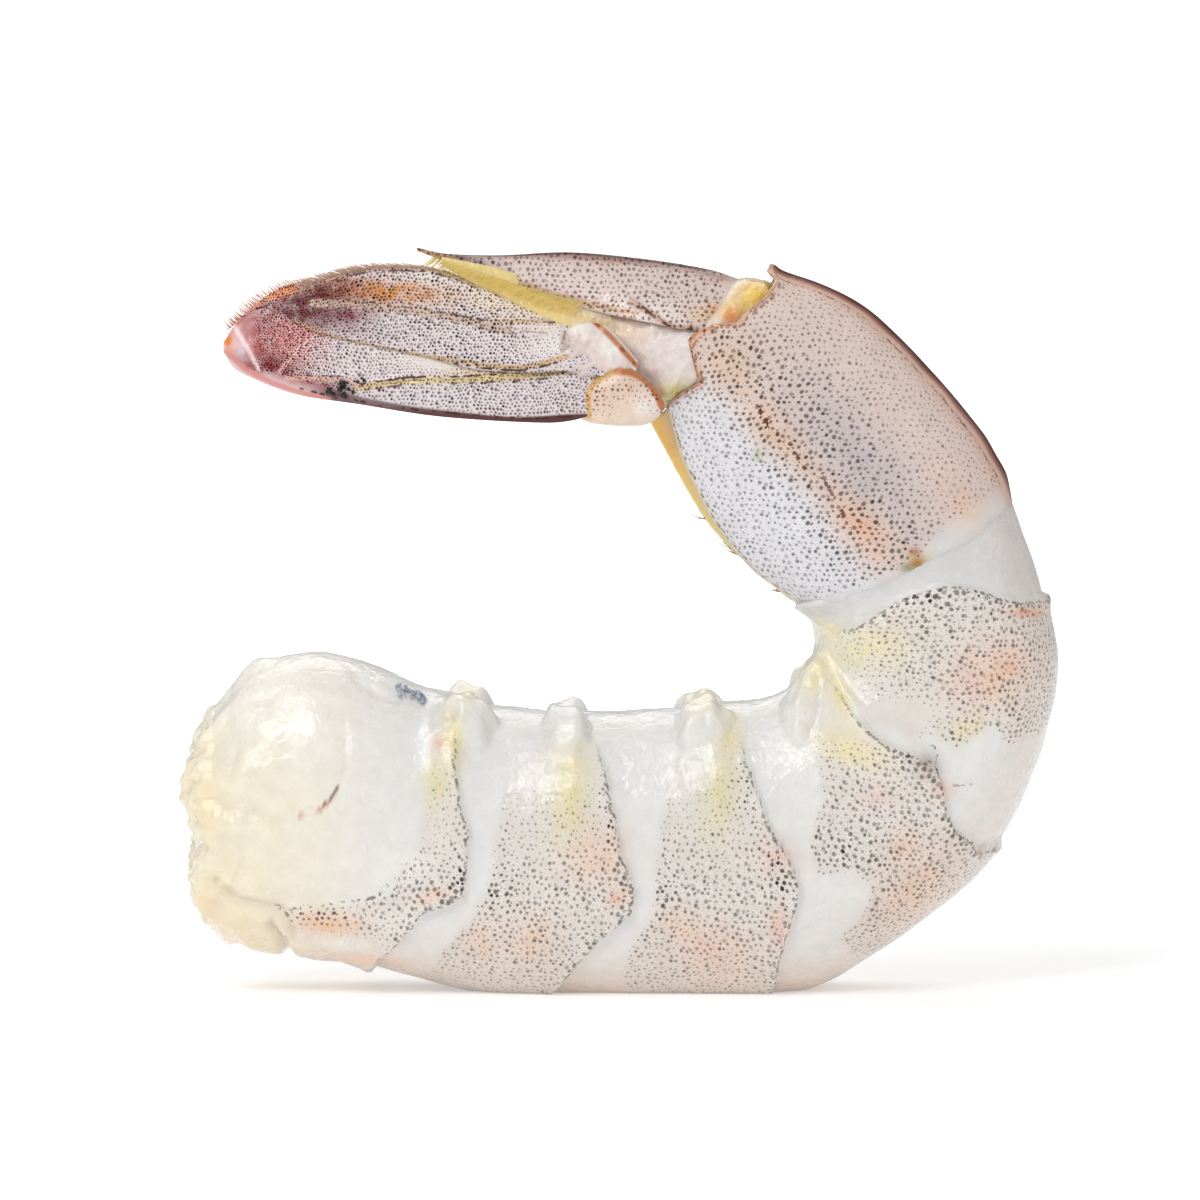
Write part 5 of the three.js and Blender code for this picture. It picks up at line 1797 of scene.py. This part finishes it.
def add_lights(settings):
    """A large window with a small lamp beside it for glints, a rim light behind, and a fill."""
    target = (PHOTO_CENTRE[0] * MM, 0, 20 * MM)
    add_light("window", (-0.2, -0.26, 0.36), target, 0.34, settings.key_watts)
    add_light("lamp", (-0.1, -0.3, 0.3), target, 0.05, settings.key_watts * 0.12)
    add_light("rim", (-0.05, 0.25, 0.4), target, 0.4, settings.key_watts * 0.7)
    add_light("fill", (0.3, -0.3, 0.12), target, 0.3, settings.key_watts * 0.15, (1.0, 0.93, 0.9))


def add_camera(settings):
    """A camera at the photograph's viewing angle, framed on the shrimp's median plane."""
    camera_data = bpy.data.cameras.new("camera")
    camera = bpy.data.objects.new("camera", camera_data)
    bpy.context.collection.objects.link(camera)
    distance = settings.camera_distance
    camera_data.sensor_width = SENSOR
    camera_data.lens = SENSOR * distance / (PHOTO_WIDTH * MM)
    camera_data.clip_start = 0.01
    tilt = math.radians(settings.camera_height)
    centre = Vector((PHOTO_CENTRE[0] * MM, 0, PHOTO_CENTRE[1] * MM))
    camera.location = centre + Vector((0, -math.cos(tilt), math.sin(tilt))) * distance
    camera.rotation_euler = (math.pi / 2 - tilt, 0, 0)
    bpy.context.scene.camera = camera


def add_stage(settings):
    bpy.context.scene.view_settings.view_transform = "Standard"
    add_floor(settings)
    add_sky(settings)
    add_lights(settings)
    add_camera(settings)


# ---------------------------------------------------------------------------------------------
# Settings, operators and panel
# ---------------------------------------------------------------------------------------------

def tint_property(name, description, code):
    return FloatVectorProperty(
        name=name, description=description, subtype="COLOR", size=3, min=0, max=1, default=colour(code)
    )


class ShrimpFleshSettings(bpy.types.PropertyGroup):
    rows: IntProperty(name="Rows", description="Rings of vertices along the flesh", default=440, min=60)
    around: IntProperty(name="Around", description="Vertices in each ring", default=188, min=24)
    plate_step: FloatProperty(
        name="Plate Step", description="How proud a plate's rear edge stands", default=0.42 * MM,
        unit="LENGTH", precision=5,
    )
    flesh: tint_property("Flesh", "Bare translucent flesh", 0xE9E8E6)
    plate: tint_property("Plates", "Skin of the segment plates", 0xE3D8CE)


class ShrimpShellSettings(bpy.types.PropertyGroup):
    rows: IntProperty(name="Rows", description="Steps along the shell ring", default=130, min=20)
    around: IntProperty(name="Around", description="Steps round the shell ring", default=190, min=20)
    wall: FloatProperty(
        name="Wall", description="Thickness of the shell", default=SHELL_WALL * MM, unit="LENGTH", precision=5
    )
    shell: tint_property("Shell", "Shell ring", 0xD9CAC4)


class ShrimpFanSettings(bpy.types.PropertyGroup):
    blade_half: FloatProperty(
        name="Blade Half", description="Half the thickness of a tail blade", default=0.27 * MM,
        unit="LENGTH", precision=5,
    )
    bristles: IntProperty(
        name="Bristles", description="Bristles along one side of a fringe", default=150, min=0
    )
    shell: tint_property("Telson", "Skin of the telson", 0xDDCAC3)
    blade: tint_property("Blades", "Skin of the tail blades", 0xE2D6D6)
    base: tint_property("Uropod Roots", "Skin of the uropods' roots", 0xE4CBB8)
    tissue: tint_property("Tissue", "Soft tissue of the tail joint", 0xE6DCD6)
    membrane: tint_property("Membrane", "Membrane below the telson", 0xFBDC9A)


class ShrimpStageSettings(bpy.types.PropertyGroup):
    floor_size: FloatProperty(name="Floor", description="Width of the floor", default=3.0, unit="LENGTH")
    floor_glow: FloatProperty(
        name="Floor Glow", description="Brightness added to the floor near the shrimp", default=0.29
    )
    floor_light: FloatProperty(name="Floor Light", description="Light that the floor sends up", default=0.2)
    sky: FloatProperty(name="Sky", description="Strength of the light from all round", default=0.5)
    key_watts: FloatProperty(name="Window", description="Power of the main light in watts", default=0.79)
    camera_distance: FloatProperty(
        name="Camera Distance", description="Camera to the shrimp", default=0.6, unit="LENGTH"
    )
    camera_height: FloatProperty(
        name="Camera Height", description="Degrees that the camera looks down", default=4.0
    )


class SHRIMP_OT_add_flesh(bpy.types.Operator):
    """Model the curled flesh with its plates, cut face, leg stubs and belly membrane"""

    bl_idname = "shrimp.add_flesh"
    bl_label = "Add Flesh"

    def execute(self, context):
        add_flesh(context.scene.shrimp_flesh)
        return {"FINISHED"}


class SHRIMP_OT_add_shell(bpy.types.Operator):
    """Model the last shell ring with its keel and rear spine"""

    bl_idname = "shrimp.add_shell"
    bl_label = "Add Shell Ring"

    def execute(self, context):
        add_shell(context.scene.shrimp_shell)
        return {"FINISHED"}


class SHRIMP_OT_add_joint(bpy.types.Operator):
    """Model the soft tissue between shell, telson and uropods, and the fan's membranes"""

    bl_idname = "shrimp.add_joint"
    bl_label = "Add Joint Tissue"

    def execute(self, context):
        add_joint(context.scene.shrimp_fan)
        for side, node_side in SIDES:
            add_fan_membrane(context.scene.shrimp_fan, side, node_side)
        return {"FINISHED"}


class SHRIMP_OT_add_telson(bpy.types.Operator):
    """Model the telson, the spike in the middle of the fan"""

    bl_idname = "shrimp.add_telson"
    bl_label = "Add Telson"

    def execute(self, context):
        add_telson(context.scene.shrimp_fan)
        return {"FINISHED"}


class SHRIMP_OT_add_uropods(bpy.types.Operator):
    """Model each side's uropod: its root, inner blade and outer blade"""

    bl_idname = "shrimp.add_uropods"
    bl_label = "Add Uropods"

    def execute(self, context):
        for side, node_side in SIDES:
            add_uropod_base(context.scene.shrimp_fan, side, node_side)
            add_endopod(context.scene.shrimp_fan, side, node_side)
            add_exopod(context.scene.shrimp_fan, side, node_side)
        return {"FINISHED"}


class SHRIMP_OT_add_fringes(bpy.types.Operator):
    """Model the bristle fringes along the telson and the blades"""

    bl_idname = "shrimp.add_fringes"
    bl_label = "Add Fringes"

    def execute(self, context):
        add_fringes(context.scene.shrimp_fan)
        add_specks(context.scene.shrimp_fan)
        return {"FINISHED"}


class SHRIMP_OT_add_stage(bpy.types.Operator):
    """Set up the white floor, the soft studio light and the camera"""

    bl_idname = "shrimp.add_stage"
    bl_label = "Add Stage"

    def execute(self, context):
        add_stage(context.scene.shrimp_stage)
        return {"FINISHED"}


SIDES = ((1, "right"), (-1, "left"))
SETTINGS = {
    "shrimp_flesh": ShrimpFleshSettings,
    "shrimp_shell": ShrimpShellSettings,
    "shrimp_fan": ShrimpFanSettings,
    "shrimp_stage": ShrimpStageSettings,
}
OPERATORS = (
    SHRIMP_OT_add_stage,
    SHRIMP_OT_add_flesh,
    SHRIMP_OT_add_shell,
    SHRIMP_OT_add_joint,
    SHRIMP_OT_add_telson,
    SHRIMP_OT_add_uropods,
    SHRIMP_OT_add_fringes,
)


class SHRIMP_PT_panel(bpy.types.Panel):
    """Settings and steps of the shrimp"""

    bl_idname = "SHRIMP_PT_panel"
    bl_label = "Peeled Shrimp Tail"
    bl_space_type = "VIEW_3D"
    bl_region_type = "UI"
    bl_category = "Shrimp"

    def draw(self, context):
        for operator in OPERATORS:
            self.layout.operator(operator.bl_idname)
        for name, group in SETTINGS.items():
            box = self.layout.box()
            for label in group.__annotations__:
                box.prop(getattr(context.scene, name), label)


def register():
    for cls in (*SETTINGS.values(), *OPERATORS, SHRIMP_PT_panel):
        bpy.utils.register_class(cls)
    for name, group in SETTINGS.items():
        setattr(bpy.types.Scene, name, PointerProperty(type=group))


def unregister():
    for name in SETTINGS:
        delattr(bpy.types.Scene, name)
    for cls in reversed((*SETTINGS.values(), *OPERATORS, SHRIMP_PT_panel)):
        bpy.utils.unregister_class(cls)


def main():
    register()
    for operator in OPERATORS:
        group, action = operator.bl_idname.split(".")
        getattr(getattr(bpy.ops, group), action)()


if __name__ == "__main__":
    main()
